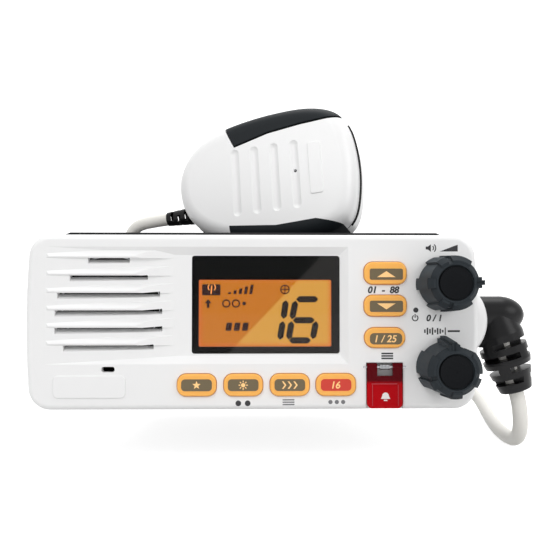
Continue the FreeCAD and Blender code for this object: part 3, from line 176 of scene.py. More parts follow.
def makeCord(what):
    tail = [Vector(p) * mm for p in what["tail"]]
    curl = [Vector(p) * mm for p in what["curl"]]
    lead = [Vector(p) * mm for p in what["lead"]]
    route = tail + curlPoints(linePoints(curl), what) + lead
    mesh = curveMesh("micCord", route, what["diameter"] / 2 * mm)
    for face in mesh.polygons:
        face.use_smooth = True
    cord = bpy.data.objects.new("micCord", mesh)
    scene.collection.objects.link(cord)
    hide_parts("cord_tail", "cord_curl", "cord_lead")
    path = [tuple(p) for p in linePoints(route)]
    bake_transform(cord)
    return cord


micCord = makeCord(cordSet)
print("cord laid")


# A shader node group for an effect that several finishes share
def newGroup(name, inputs, outputs):
    group = bpy.data.node_groups.new(name, "ShaderNodeTree")
    for label, kind, value in inputs:
        socket = group.interface.new_socket(label, in_out="INPUT", socket_type=kind)
        socket.default_value = value
    for label, kind in outputs:
        group.interface.new_socket(label, in_out="OUTPUT", socket_type=kind)
    entry = group.nodes.new("NodeGroupInput")
    leave = group.nodes.new("NodeGroupOutput")
    return group, entry, leave


# Slow drift of colour and gloss over a moulded or painted surface
def makeToneGroup():
    group, entry, leave = newGroup(
        "toneDrift",
        [("Color", "NodeSocketColor", (1, 1, 1, 1)), ("Amount", "NodeSocketFloat", 0.05),
         ("Scale", "NodeSocketFloat", 20.0), ("Roughness", "NodeSocketFloat", 0.5),
         ("Spread", "NodeSocketFloat", 0.1)],
        [("Color", "NodeSocketColor"), ("Roughness", "NodeSocketFloat")])
    add = group.nodes.new
    link = group.links.new
    place = add("ShaderNodeTexCoord")
    noise = add("ShaderNodeTexNoise")
    noise.inputs["Detail"].default_value = 4.0
    link(place.outputs["Object"], noise.inputs["Vector"])
    link(entry.outputs["Scale"], noise.inputs["Scale"])
    middle = add("ShaderNodeMath")
    middle.operation = "SUBTRACT"
    middle.inputs[1].default_value = 0.5
    link(noise.outputs["Fac"], middle.inputs[0])
    dim = add("ShaderNodeMath")
    dim.operation = "MULTIPLY_ADD"
    dim.inputs[2].default_value = 1.0
    link(middle.outputs[0], dim.inputs[0])
    link(entry.outputs["Amount"], dim.inputs[1])
    shade = add("ShaderNodeVectorMath")
    shade.operation = "SCALE"
    link(entry.outputs["Color"], shade.inputs[0])
    link(dim.outputs[0], shade.inputs["Scale"])
    link(shade.outputs[0], leave.inputs["Color"])
    rough = add("ShaderNodeMath")
    rough.operation = "MULTIPLY_ADD"
    link(middle.outputs[0], rough.inputs[0])
    link(entry.outputs["Spread"], rough.inputs[1])
    link(entry.outputs["Roughness"], rough.inputs[2])
    link(rough.outputs[0], leave.inputs["Roughness"])
    return group


# Height of a fine moulded texture: small pores over a softer orange peel
def makeGrainGroup():
    group, entry, leave = newGroup(
        "fineGrain",
        [("Scale", "NodeSocketFloat", 2500.0), ("Peel", "NodeSocketFloat", 0.3)],
        [("Height", "NodeSocketFloat")])
    add = group.nodes.new
    link = group.links.new
    place = add("ShaderNodeTexCoord")
    pores = add("ShaderNodeTexNoise")
    pores.inputs["Detail"].default_value = 3.0
    link(place.outputs["Object"], pores.inputs["Vector"])
    link(entry.outputs["Scale"], pores.inputs["Scale"])
    slower = add("ShaderNodeMath")
    slower.operation = "MULTIPLY"
    slower.inputs[1].default_value = 0.16  # the peel's waves are wider than the pores
    link(entry.outputs["Scale"], slower.inputs[0])
    peel = add("ShaderNodeTexNoise")
    peel.inputs["Detail"].default_value = 1.0
    link(place.outputs["Object"], peel.inputs["Vector"])
    link(slower.outputs[0], peel.inputs["Scale"])
    both = add("ShaderNodeMix")
    both.data_type = "FLOAT"
    link(entry.outputs["Peel"], both.inputs["Factor"])
    link(pores.outputs["Fac"], both.inputs["A"])
    link(peel.outputs["Fac"], both.inputs["B"])
    link(both.outputs["Result"], leave.inputs["Height"])
    return group


toneDrift = makeToneGroup()
fineGrain = makeGrainGroup()


# A display colour from 0 to 255 as the light that it stands for
def plainLight(value):
    share = value / 255
    if share <= 0.04045:
        return share / 12.92
    return ((share + 0.055) / 1.055) ** 2.4


def tint(red, green, blue):
    return (plainLight(red), plainLight(green), plainLight(blue), 1.0)


# What a finish has where its own dictionary says nothing else
usualFinish = {
    "drift": 0.06,
    "driftScale": 25.0,
    "spread": 0.1,
    "grain": 0.15,
    "grainScale": 2500.0,
    "grainDeep": 0.05,
    "peel": 0.3,
}
ownSockets = ("Metallic", "IOR", "Transmission Weight", "Coat Weight", "Coat Roughness",
              "Alpha", "Subsurface Weight", "Emission Strength", "Specular IOR Level")


# One material: its Principled shader with tone and grain groups on it
class Finish:

    def __init__(self, name, own):
        what = {**usualFinish, **own}
        self.material = bpy.data.materials.new(name)
        self.material.use_nodes = True
        self.tree = self.material.node_tree
        self.shader = self.tree.nodes["Principled BSDF"]
        self.tone = self.add("ShaderNodeGroup")
        self.tone.node_tree = toneDrift
        for label, key in (("Color", "color"), ("Amount", "drift"), ("Scale", "driftScale"),
                           ("Roughness", "roughness"), ("Spread", "spread")):
            self.tone.inputs[label].default_value = what[key]
        if what["drift"]:
            self.link(self.tone.outputs["Color"], self.shader.inputs["Base Color"])
        else:
            self.shader.inputs["Base Color"].default_value = what["color"]
        self.link(self.tone.outputs["Roughness"], self.shader.inputs["Roughness"])
        if what["grain"]:
            self.roughen(what)
        for socket in ownSockets:
            if socket in what:
                self.shader.inputs[socket].default_value = what[socket]
        if "glow" in what:
            self.shader.inputs["Emission Color"].default_value = what["glow"]

    def roughen(self, what):
        grain = self.add("ShaderNodeGroup")
        grain.node_tree = fineGrain
        grain.inputs["Scale"].default_value = what["grainScale"]
        grain.inputs["Peel"].default_value = what["peel"]
        bump = self.add("ShaderNodeBump")
        bump.inputs["Strength"].default_value = what["grain"]
        bump.inputs["Distance"].default_value = what["grainDeep"] * mm
        self.link(grain.outputs["Height"], bump.inputs["Height"])
        self.link(bump.outputs["Normal"], self.shader.inputs["Normal"])

    def add(self, kind):
        return self.tree.nodes.new(kind)

    def link(self, start, end):
        return self.tree.links.new(start, end)

    # 0 to 1 while a length on the object goes from start to end, in millimetres
    def smooth(self, length, start, end):
        spread = self.add("ShaderNodeMapRange")
        spread.interpolation_type = "SMOOTHSTEP"
        spread.inputs["From Min"].default_value = start * mm
        spread.inputs["From Max"].default_value = end * mm
        self.link(length, spread.inputs["Value"])
        return spread.outputs["Result"]

    # 0 to 1 along a direction
    def ramp(self, direction, start, end):
        place = self.add("ShaderNodeTexCoord")
        dot = self.add("ShaderNodeVectorMath")
        dot.operation = "DOT_PRODUCT"
        dot.inputs[1].default_value = direction
        self.link(place.outputs["Object"], dot.inputs[0])
        return self.smooth(dot.outputs["Value"], start, end)

    # 0 to 1 with the distance from a line along Y through the centre
    def reach(self, centre, near, far):
        place = self.add("ShaderNodeTexCoord")
        flat = self.add("ShaderNodeVectorMath")
        flat.operation = "MULTIPLY"
        flat.inputs[1].default_value = (1, 0, 1)
        self.link(place.outputs["Object"], flat.inputs[0])
        apart = self.add("ShaderNodeVectorMath")
        apart.operation = "DISTANCE"
        apart.inputs[1].default_value = (centre[0] * mm, 0, centre[1] * mm)
        self.link(flat.outputs[0], apart.inputs[0])
        return self.smooth(apart.outputs["Value"], near, far)

    def multiply(self, first, second):
        both = self.add("ShaderNodeMath")
        both.operation = "MULTIPLY"
        self.link(first, both.inputs[0])
        self.link(second, both.inputs[1])
        return both.outputs[0]

    def mixColor(self, share, first, second):
        mix = self.add("ShaderNodeMix")
        mix.data_type = "RGBA"
        for socket, value in ((6, first), (7, second)):  # the two colour inputs
            if isinstance(value, tuple):
                mix.inputs[socket].default_value = value
            else:
                self.link(value, mix.inputs[socket])
        self.link(share, mix.inputs["Factor"])
        return mix.outputs[2]  # the colour output

    def color(self, output):
        self.link(output, self.tone.inputs["Color"])

    def roughness(self, output):
        self.link(output, self.tone.inputs["Roughness"])


finishes = {
    "whiteShell": {"color": tint(238, 238, 238), "roughness": 0.36, "drift": 0.02,
                   "driftScale": 14, "spread": 0.08, "grain": 0.10, "grainDeep": 0.03,
                   "peel": 0.6, "Coat Weight": 0.15, "Coat Roughness": 0.2},
    "blackRubber": {"color": tint(12, 12, 14), "roughness": 0.32, "drift": 0.15,
                    "spread": 0.1, "grain": 0.2, "Specular IOR Level": 0.22},
    "gripRubber": {"color": tint(28, 32, 35), "roughness": 0.5, "drift": 0.12,
                   "spread": 0.1, "grain": 0.3, "grainScale": 3200,
                   "Specular IOR Level": 0.12},
    "knobRubber": {"color": tint(58, 62, 65), "roughness": 0.58, "drift": 0.1,
                   "spread": 0.1, "grain": 0.3, "grainScale": 3000,
                   "Specular IOR Level": 0.08},
    "casting": {"color": tint(34, 35, 37), "roughness": 0.55, "drift": 0.12, "spread": 0.14,
                "grain": 0.6, "grainScale": 1400, "grainDeep": 0.12},
    "bottomCover": {"color": tint(40, 41, 43), "roughness": 0.45, "drift": 0.1,
                    "grain": 0.4, "grainScale": 1700, "grainDeep": 0.1},
    "clearWindow": {"color": (0.96, 0.96, 0.96, 1), "roughness": 0.02, "drift": 0.0,
                    "spread": 0.01, "grain": 0.0, "IOR": 1.22, "Transmission Weight": 1.0},
    "clearGuide": {"color": (0.95, 0.95, 0.95, 1), "roughness": 0.06, "drift": 0.02,
                   "spread": 0.02, "grain": 0.02, "IOR": 1.49, "Transmission Weight": 1.0},
    "maskInk": {"color": tint(6, 6, 7), "roughness": 0.3, "drift": 0.05, "grain": 0.02},
    "darkPlastic": {"color": tint(28, 28, 29), "roughness": 0.5, "drift": 0.1, "grain": 0.2},
    "lcdGlass": {"color": tint(14, 8, 3), "roughness": 0.25, "drift": 0.02,
                 "grain": 0.02, "Emission Strength": 0.92, "Specular IOR Level": 0.08},
    "greenBoard": {"color": tint(24, 88, 46), "roughness": 0.4, "drift": 0.25,
                   "driftScale": 160, "grain": 0.2, "grainScale": 900},
    "steel": {"color": tint(176, 177, 180), "roughness": 0.32, "drift": 0.12,
              "driftScale": 90, "spread": 0.15, "grain": 0.12, "Metallic": 1.0},
    "brass": {"color": tint(186, 152, 84), "roughness": 0.34, "drift": 0.15,
              "driftScale": 80, "spread": 0.15, "grain": 0.1, "Metallic": 1.0},
    "aluminiumCan": {"color": tint(190, 192, 196), "roughness": 0.28, "drift": 0.08,
                     "driftScale": 120, "grain": 0.08, "Metallic": 1.0},
    "darkPaper": {"color": tint(30, 29, 28), "roughness": 0.85, "drift": 0.25,
                  "driftScale": 220, "grain": 0.7, "grainScale": 1200, "grainDeep": 0.15},
    "amberKey": {"color": tint(250, 176, 82), "roughness": 0.34, "drift": 0.05,
                 "spread": 0.06, "grain": 0.08, "Subsurface Weight": 0.15,
                 "glow": tint(250, 160, 60), "Emission Strength": 0.1},
    "oliveWindow": {"color": tint(104, 90, 62), "roughness": 0.38, "drift": 0.06,
                    "grain": 0.05},
    "redWindow": {"color": tint(206, 52, 34), "roughness": 0.38, "drift": 0.05,
                  "grain": 0.05},
    "keySign": {"color": tint(252, 204, 138), "roughness": 0.4, "drift": 0.02,
                "grain": 0.02, "glow": tint(252, 190, 110), "Emission Strength": 0.12},
    "redClear": {"color": tint(150, 8, 22), "roughness": 0.2, "drift": 0.06,
                 "spread": 0.04, "grain": 0.03, "Specular IOR Level": 0.06, "Alpha": 0.93},
    "redSheen": {"color": tint(176, 44, 58), "roughness": 0.3, "drift": 0.05,
                 "grain": 0.03},
    "redKey": {"color": tint(200, 30, 26), "roughness": 0.4, "drift": 0.05, "grain": 0.1},
    "darkInk": {"color": tint(30, 30, 34), "roughness": 0.45, "drift": 0.05, "grain": 0.05},
    "greyInk": {"color": tint(112, 113, 116), "roughness": 0.45, "drift": 0.05,
                "grain": 0.05},
    "whiteInk": {"color": tint(244, 238, 236), "roughness": 0.4, "drift": 0.02,
                 "grain": 0.04},
    "lcdInk": {"color": tint(30, 16, 6), "roughness": 0.5, "drift": 0.02, "grain": 0.0,
               "Specular IOR Level": 0.1},
    "lcdWordInk": {"color": tint(44, 8, 2), "roughness": 0.5, "drift": 0.02, "grain": 0.0,
                   "Specular IOR Level": 0.1},
    "lcdLight": {"color": tint(205, 128, 50), "roughness": 0.5, "drift": 0.02, "grain": 0.0,
                 "glow": tint(205, 128, 50), "Emission Strength": 0.9},
    "cordSheath": {"color": tint(236, 234, 228), "roughness": 0.5, "drift": 0.05,
                   "driftScale": 60, "spread": 0.1, "grain": 0.25, "grainScale": 2000},
}
finishByName = {name: Finish(name, own) for name, own in finishes.items()}


# Display: the backlight is orange along its rim; right of a slanted line the display and its mask
# are lighter, a painted reflection of glare
glowSet = {
    # the slanted line right of which a painted reflection lightens display and mask
    "glareSlant": (0.725, 0.0, -0.688),
    "glareSlantEdge": (1.0, 2.0),
    "fieldAndGlare": (tint(205, 119, 18), tint(224, 162, 66)),
    "rim": tint(226, 108, 46),
    "rimEdges": [((1, 0, 0), -23.4, -20.2), ((-1, 0, 0), -32.8, -30.2),
                 ((0, 0, 1), -11.4, -8.0), ((0, 0, -1), -18.0, -16.2)],
    # the mask's colour and glow, lighter right of the slant: a painted reflection
    "mask": (tint(4, 4, 5), tint(46, 45, 44)),
    "maskReflectionGlow": (tint(2, 2, 2), tint(44, 43, 42)),
    "maskReflectionStrength": 0.8,
}


def dressBacklight(what):
    lcd = finishByName["lcdGlass"]
    # right of the slanted line the backlight is lighter: a painted reflection of glare
    lit = lcd.ramp(what["glareSlant"], *what["glareSlantEdge"])
    fieldAndGlare = lcd.mixColor(lit, *what["fieldAndGlare"])
    share = lcd.ramp(*what["rimEdges"][0])
    for edge in what["rimEdges"][1:]:
        share = lcd.multiply(share, lcd.ramp(*edge))
    glow = lcd.mixColor(share, what["rim"], fieldAndGlare)
    lcd.link(glow, lcd.shader.inputs["Emission Color"])


# The black mask, lighter and glowing right of the slanted line: a painted reflection of glare
def dressMask(what):
    mask = finishByName["maskInk"]
    lit = mask.ramp(what["glareSlant"], *what["glareSlantEdge"])
    mask.color(mask.mixColor(lit, *what["mask"]))
    glow = mask.mixColor(lit, *what["maskReflectionGlow"])
    mask.link(glow, mask.shader.inputs["Emission Color"])
    mask.shader.inputs["Emission Strength"].default_value = what["maskReflectionStrength"]


# Knobs: matt sides and ring, and a glossier hollow in the face; the hollow is darker with painted
# shade, and the sides are lighter than the face with painted light
knobSet = {
    "centres": {"volume": (77.9, 15.6), "squelch": (77.9, -18.5)},
    "dishEdge": (6.2, 6.9),
    "faceEdge": (76.5, 78.0),
    # painted shade: the hollow in the face darker than the ring
    "dish": tint(13, 15, 18),
    "ring": tint(45, 50, 54),
    # painted light: the sides lighter than the face
    "sides": tint(52, 59, 64),
    "dishRoughness": 0.34,
    "ringRoughness": 0.56,
}


def knobFinish(name, centre, what):
    knob = Finish(name, finishes["knobRubber"])
    ring = knob.reach(centre, *what["dishEdge"])
    ahead = knob.ramp((0, -1, 0), *what["faceEdge"])
    # painted shade darkens the hollow of the face, painted light lightens the sides
    face = knob.mixColor(ring, what["dish"], what["ring"])
    knob.color(knob.mixColor(ahead, what["sides"], face))
    gloss = knob.add("ShaderNodeMapRange")
    gloss.inputs["To Min"].default_value = what["dishRoughness"]
    gloss.inputs["To Max"].default_value = what["ringRoughness"]
    knob.link(ring, gloss.inputs["Value"])
    knob.roughness(gloss.outputs["Result"])
    return knob.material


# Flip cover's colour: darker red with painted shade at the top, brighter with painted light where
# the key shows through
shineSet = {"edge": (23.5, 25.5), "hinge": tint(92, 2, 14), "key": tint(192, 4, 18)}


def dressCover(what):
    cover = finishByName["redClear"]
    # painted shade at the top, painted light lower down where the key shows through
    keyShineShare = cover.ramp((0, 0, -1), *what["edge"])
    cover.color(cover.mixColor(keyShineShare, what["hinge"], what["key"]))


dressBacklight(glowSet)
dressMask(glowSet)
dressCover(shineSet)
print("finishes made")

nodeFinish = {
    "whiteShell": ["front_panel", "mic_front_shell", "mic_rear_shell"],
    "blackRubber": ["panel_gasket", "mic_seam", "cord_elbow", "mic_cord_relief",
                    "power_grommet", "speaker_gasket"],
    "gripRubber": ["mic_grip", "talk_button"],
    "casting": ["chassis"],
    "bottomCover": ["bottom_cover"],
    "clearWindow": ["display_window"],
    "clearGuide": ["key_light_guide"],
    "maskInk": ["display_mask"],
    "darkPlastic": ["lcd_holder", "tact_switches", "talk_switch", "board_link",
                    "power_module", "speaker_jack"],
    "lcdGlass": ["lcd_glass", "lcd_backlight"],
    "greenBoard": ["panel_board", "main_board", "mic_board"],
    "steel": ["volume_pot", "squelch_pot", "volume_shaft", "squelch_shaft", "cover_pin",
              "cover_spring", "case_screws", "board_screws", "mic_screws", "shield_can",
              "antenna_socket", "talk_spring", "hang_stud", "speaker_frame",
              "speaker_magnet"],
    "brass": ["bracket_inserts"],
    "aluminiumCan": ["mic_element"],
    "darkPaper": ["speaker_cone"],
    "amberKey": ["channel_up_key", "channel_down_key", "power_level_key", "first_key",
                 "second_key", "third_key", "red_key"],
    "redClear": ["distress_cover"],
    "redKey": ["distress_button"],
}


def dress(piece, material):
    piece.data.materials.clear()
    piece.data.materials.append(material)


for finish, names in nodeFinish.items():
    for name in names:
        dress(nodes[name], finishByName[finish].material)
for name, centre in knobSet["centres"].items():
    dress(nodes[name + "_knob"], knobFinish(name + "KnobRubber", centre, knobSet))
dress(micCord, finishByName["cordSheath"].material)
print("frame dressed")


# Printed signs: thin raised plates that face the front
def addPiece(name, mesh, finish, body):
    mesh.materials.clear()
    mesh.materials.append(finishByName[finish].material)
    piece = bpy.data.objects.new(name, mesh)
    scene.collection.objects.link(piece)
    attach(piece, body)


# Closed outlines of (x, z) in millimetres, as thin plates whose front is at y
def flatPiece(name, outlines, y, thick, finish, body):
    points = []
    faces = []
    for outline in outlines:
        first = len(points)
        count = len(outline)
        for depth in (y, y + thick):
            points += [(x * mm, depth * mm, z * mm) for x, z in outline]
        edges = zip(outline, outline[1:] + outline[:1])
        area = sum(a[0] * b[1] - b[0] * a[1] for a, b in edges)
        front = [first + i for i in range(count)]
        if area < 0:
            front.reverse()
        faces.append(front)
        faces.append([i + count for i in reversed(front)])
        for a, b in zip(front, front[1:] + front[:1]):
            faces.append([b, a, a + count, b + count])
    mesh = bpy.data.meshes.new(name)
    mesh.from_pydata(points, [], faces)
    addPiece(name, mesh, finish, body)


def pillOutline(x, z, w, h, r, steps=7):
    outline = []
    for cx, cz, turn in ((w / 2 - r, h / 2 - r, 0), (r - w / 2, h / 2 - r, 90),
                         (r - w / 2, r - h / 2, 180), (w / 2 - r, r - h / 2, 270)):
        for i in range(steps + 1):
            a = math.radians(turn + 90 * i / steps)
            outline.append((x + cx + r * math.cos(a), z + cz + r * math.sin(a)))
    return outline


def discOutline(x, z, r, steps=28):
    outline = []
    for i in range(steps):
        a = 2 * math.pi * i / steps
        outline.append((x + r * math.cos(a), z + r * math.sin(a)))
    return outline


def stroke(x0, z0, x1, z1, w):
    along = Vector((x1 - x0, z1 - z0)).normalized()
    side = Vector((-along.y, along.x)) * w / 2
    return [(x0 - side.x, z0 - side.y), (x1 - side.x, z1 - side.y),
            (x1 + side.x, z1 + side.y), (x0 + side.x, z0 + side.y)]


# Part of a ring between two angles
def bow(x, z, r, w, start, end, steps=10):
    outer = []
    inner = []
    for i in range(steps + 1):
        a = math.radians(start + (end - start) * i / steps)
        outer.append((x + (r + w / 2) * math.cos(a), z + (r + w / 2) * math.sin(a)))
        inner.append((x + (r - w / 2) * math.cos(a), z + (r - w / 2) * math.sin(a)))
    return outer + inner[::-1]


# A display segment: a bar with pointed ends
def segment(x0, z0, x1, z1, w):
    along = Vector((x1 - x0, z1 - z0)).normalized()
    side = Vector((-along.y, along.x)) * w / 2
    a = Vector((x0, z0)) + along * w / 2
    b = Vector((x1, z1)) - along * w / 2
    return [(x0, z0), tuple(a - side), tuple(b - side), (x1, z1), tuple(b + side),
            tuple(a + side)]


# An outline drawn around (0, 0), brought to its place
def placed(outline, x, z):
    return [(x + dx, z + dz) for dx, dz in outline]


numberSet = {
    "highShare": 0.7,  # a numeral's height over the font's size
    "lean": 0.2,
    "bold": 0.13,
    "halfThick": 0.04,
}


# Plain numerals, centred on (x, z)
def numberPiece(name, text, x, z, height, y, finish, body, bold=numberSet["bold"]):
    curve = bpy.data.curves.new(name, "FONT")
    curve.body = text
    curve.size = height * mm / numberSet["highShare"]
    curve.shear = numberSet["lean"]
    curve.offset = bold * mm
    curve.extrude = numberSet["halfThick"] * mm
    curve.align_x = "CENTER"
    probe = bpy.data.objects.new(name, curve)
    scene.collection.objects.link(probe)
    bpy.context.view_layer.update()
    mesh = bpy.data.meshes.new_from_object(probe)
    bpy.data.objects.remove(probe)
    xs = [v.co.x for v in mesh.vertices]
    ys = [v.co.y for v in mesh.vertices]
    middle = Vector(((min(xs) + max(xs)) / 2, (min(ys) + max(ys)) / 2, 0))
    upright = Matrix.Rotation(math.radians(90), 4, "X")
    mesh.transform(Matrix.Translation((x * mm, y * mm, z * mm)) @ upright
                   @ Matrix.Translation(-middle))
    addPiece(name, mesh, finish, body)


# Keys: the cap is the frame's own; each carries a painted window with a sign in it
keySet = {
    "front": -61.3,
    "windowThick": 0.10,
    "windowSink": 0.02,
    "signThick": 0.08,
    "signProud": 0.06,
    "numberProud": 0.02,
    "numberHigh": 2.8,
    "numberBold": 0.07,
    "keys": {
        "channel_up": {"at": (54.2, 19.5), "window": (13.6, 4.6, 0.8), "sign": "up"},
        "channel_down": {"at": (54.2, 6.4), "window": (13.6, 4.6, 0.8), "sign": "down"},
        "power_level": {"at": (54.0, -6.8), "window": (13.2, 4.6, 1.7), "sign": "1 / 25"},
        "first": {"at": (-22.95, -25.5), "window": (12.4, 4.8, 1.5), "sign": "star"},
        "second": {"at": (-4.1, -25.5), "window": (12.4, 4.8, 1.5), "sign": "sun"},
        "third": {"at": (14.8, -25.5), "window": (12.4, 4.8, 1.5), "sign": "chevrons"},
        "red": {"at": (33.6, -25.5), "window": (12.4, 4.8, 1.5), "sign": "16"},
    },
    "arrow": {"half": 3.8, "foot": 1.2, "tip": 1.25},
    "star": {"points": 5, "outer": 1.75, "inner": 0.75},
    "sun": {"disc": 0.85, "rays": 8, "near": 1.15, "far": 1.85, "wide": 0.42},
    "chevrons": {"steps": (-2.3, 0.0, 2.3), "half": 0.9, "notch": 0.2, "high": 1.5},
}


def arrowSign(x, z, way):
    arrow = keySet["arrow"]
    half = arrow["half"]
    foot = z - way * arrow["foot"]
    return [[(x - half, foot), (x + half, foot), (x, z + way * arrow["tip"])]]


def starSign(x, z):
    star = keySet["star"]
    tips = []
    for i in range(2 * star["points"]):
        r = star["inner"] if i % 2 else star["outer"]
        a = math.radians(90 + 180 / star["points"] * i)
        tips.append((x + r * math.cos(a), z + r * math.sin(a)))
    return [tips]


def sunSign(x, z):
    sun = keySet["sun"]
    marks = [discOutline(x, z, sun["disc"])]
    for i in range(sun["rays"]):
        a = 2 * math.pi * i / sun["rays"]
        c = math.cos(a)
        s = math.sin(a)
        marks.append(stroke(x + sun["near"] * c, z + sun["near"] * s,
                            x + sun["far"] * c, z + sun["far"] * s, sun["wide"]))
    return marks


def chevronSign(x, z):
    chevron = keySet["chevrons"]
    half = chevron["half"]
    notch = chevron["notch"]
    high = chevron["high"]
    mark = [(-half, high), (-notch, high), (half, 0), (-notch, -high), (-half, -high), (notch, 0)]
    return [placed(mark, x + step, z) for step in chevron["steps"]]


def signOutlines(sign, x, z):
    if sign == "up":
        return arrowSign(x, z, 1)
    if sign == "down":
        return arrowSign(x, z, -1)
    if sign == "star":
        return starSign(x, z)
    if sign == "sun":
        return sunSign(x, z)
    return chevronSign(x, z)


def markKey(name, key):
    x, z = key["at"]
    w, h, r = key["window"]
    front = keySet["front"] - keySet["windowThick"] + keySet["windowSink"]
    windowFinish = "redWindow" if name == "red" else "oliveWindow"
    flatPiece(name + "Window", [pillOutline(x, z, w, h, r)], front, keySet["windowThick"],
              windowFinish, name)
    if key["sign"][0].isdigit():
        numberPiece(name + "Sign", key["sign"], x, z, keySet["numberHigh"],
                    front - keySet["numberProud"], "keySign", name,
                    bold=keySet["numberBold"])
    else:
        flatPiece(name + "Sign", signOutlines(key["sign"], x, z), front - keySet["signProud"],
                  keySet["signThick"], "keySign", name)


for name, key in keySet["keys"].items():
    markKey(name, key)
print("keys marked")

# Signs on the panel
panelSet = {
    "front": -60.06,
    "thick": 0.08,
    "volume": {
        "at": (77.3, 30.3),
        "speaker": [(-6.6, -0.6), (-5.7, -0.6), (-4.5, -1.5), (-4.5, 1.5), (-5.7, 0.6),
                    (-6.6, 0.6)],
        "wavesFrom": -4.6,
        "waves": (1.2, 2.1),
        "waveWide": 0.4,
        "waveTurn": 45,
        "wedge": [(-0.8, -1.4), (6.6, -1.4), (6.6, 1.4)],
    },
    "squelch": {
        "at": (77.4, -3.8),
        "noise": (0.7, 1.4, 0.9, 1.5, 0.6, 1.3, 1.0, 0.5),
        "noiseFrom": -7.2,
        "noiseStep": 1.05,
        "noiseWide": 0.62,
        "edge": (1.2, -1.5, 1.2, 1.5, 0.45),
        "quiet": (2.2, 0.0, 7.2, 0.0, 0.75),
    },
    "offDot": (66.5, 4.84, 1.05),
    "offRing": {"at": (66.2, 1.6), "r": 1.15, "wide": 0.42, "turns": (120, 420), "steps": 24,
                "stick": (0.1, 1.6)},
    "offNumbers": {"text": "0 / 1", "x": 74.0, "z": 1.6, "height": 2.5},
    "channelNumbers": {"text": "01  -  88", "x": 53.3, "z": 13.15, "height": 2.6},
    "coverBars": {"x": 54.7, "z": -13.9, "half": 2.4, "gap": 1.0, "wide": 0.62},
    "memoryBars": {"x": 14.3, "z": -32.6, "half": 2.4, "gap": 0.95, "wide": 0.5},
    "dualDots": {"x": -4.2, "z": -33.0, "steps": (-1.9, 1.9), "r": 1.15},
    "tripleDots": {"x": 34.0, "z": -32.6, "steps": (-2.6, 0.0, 2.6), "r": 0.85},
}


def panelSign(name, outlines, finish="darkInk"):
    flatPiece(name, outlines, panelSet["front"], panelSet["thick"], finish, "root")


def panelNumbers(name, what):
    numberPiece(name, what["text"], what["x"], what["z"], what["height"], panelSet["front"],
                "darkInk", "root")


def volumeSign(what):
    x, z = what["at"]
    turn = what["waveTurn"]
    waves = [bow(x + what["wavesFrom"], z, r, what["waveWide"], -turn, turn)
             for r in what["waves"]]
    return [placed(what["speaker"], x, z)] + waves + [placed(what["wedge"], x, z)]


# Noise on the left, cut clean on the right
def squelchSign(what):
    x, z = what["at"]
    marks = []
    for i, high in enumerate(what["noise"]):
        at = what["noiseFrom"] + what["noiseStep"] * i
        marks.append(stroke(at, -high, at, high, what["noiseWide"]))
    marks += [stroke(*what["edge"]), stroke(*what["quiet"])]
    return [placed(mark, x, z) for mark in marks]


def offSign(what):
    x, z = what["at"]
    start, end = what["turns"]
    foot, top = what["stick"]
    return [bow(x, z, what["r"], what["wide"], start, end, what["steps"]),
            stroke(x, z + foot, x, z + top, what["wide"])]


def barStack(x, z, half, gap, wide):
    return [stroke(x - half, z + dz, x + half, z + dz, wide) for dz in (-gap, 0.0, gap)]


def dotRow(x, z, steps, r):
    return [discOutline(x + dx, z, r) for dx in steps]


panelSign("volumeSign", volumeSign(panelSet["volume"]))
panelSign("squelchSign", squelchSign(panelSet["squelch"]))
panelSign("offDot", [discOutline(*panelSet["offDot"])])
panelSign("offSign", offSign(panelSet["offRing"]))
panelNumbers("offZero", panelSet["offNumbers"])
panelNumbers("channelNumbers", panelSet["channelNumbers"])
panelSign("coverSign", barStack(**panelSet["coverBars"]))
panelSign("dualSign", dotRow(**panelSet["dualDots"]))
panelSign("memorySign", barStack(**panelSet["memoryBars"]), "greyInk")
panelSign("tripleSign", dotRow(**panelSet["tripleDots"]), "greyInk")
print("panel marked")

# Slanted numerals and small signs on the display's glass
lcdSet = {
    "front": -54.56,
    "thick": 0.05,
    "lean": 0.17,
    "digitWide": 2.6,
    "digits": [
        (13.45, 8.9, 12.35, 1.1), (12.2, 0.2, 10.85, -7.6),
        (17.6, 9.25, 26.9, 9.25), (17.5, 8.7, 15.9, 0.9), (16.2, 0.55, 25.4, 0.55),
        (15.85, 0.2, 14.5, -7.5), (25.95, 0.2, 24.5, -7.3), (14.6, -7.8, 23.8, -7.8),
    ],
    "block": (-17.5, 13.16, 7.6, 4.6, 0.4),
    "blockSignProud": 0.03,
    "mast": (-17.6, 11.4, -17.3, 14.9, 0.5),
    "mastWaves": {"at": (-17.3, 14.2), "r": 1.5, "wide": 0.4, "turn": 50, "sides": (0, 180)},
    "bars": {"count": 5, "x": -10.0, "step": 2.2, "foot": 11.4, "top": 12.2, "growth": 0.78,
             "wide": 1.25},
    "globe": {"x": 13.0, "z": 13.3, "r": 1.75, "wide": 0.5, "cross": 1.7, "crossWide": 0.45},
    "arrowHead": [(-20.3, 7.6), (-18.8, 9.3), (-17.3, 7.6)],
    "arrowStem": (-18.8, 5.7, -18.8, 7.8, 1.1),
    "rings": {"places": (-11.3, -7.3), "z": 7.5, "r": 1.45, "wide": 0.6},
    "dot": (-3.9, 7.5, 0.8),
    "listMarks": {"count": 3, "x": -10.2, "step": 3.4, "z": -2.1, "size": (2.4, 3.4, 0.4)},
}


def leaning(outline, foot):
    return [(x + (z - foot) * lcdSet["lean"], z) for x, z in outline]


def lcdBars(what):
    bars = []
    for i in range(what["count"]):
        x = what["x"] + what["step"] * i
        top = what["top"] + what["growth"] * i
        bars.append(leaning(stroke(x, what["foot"], x, top, what["wide"]), what["foot"]))
    return bars


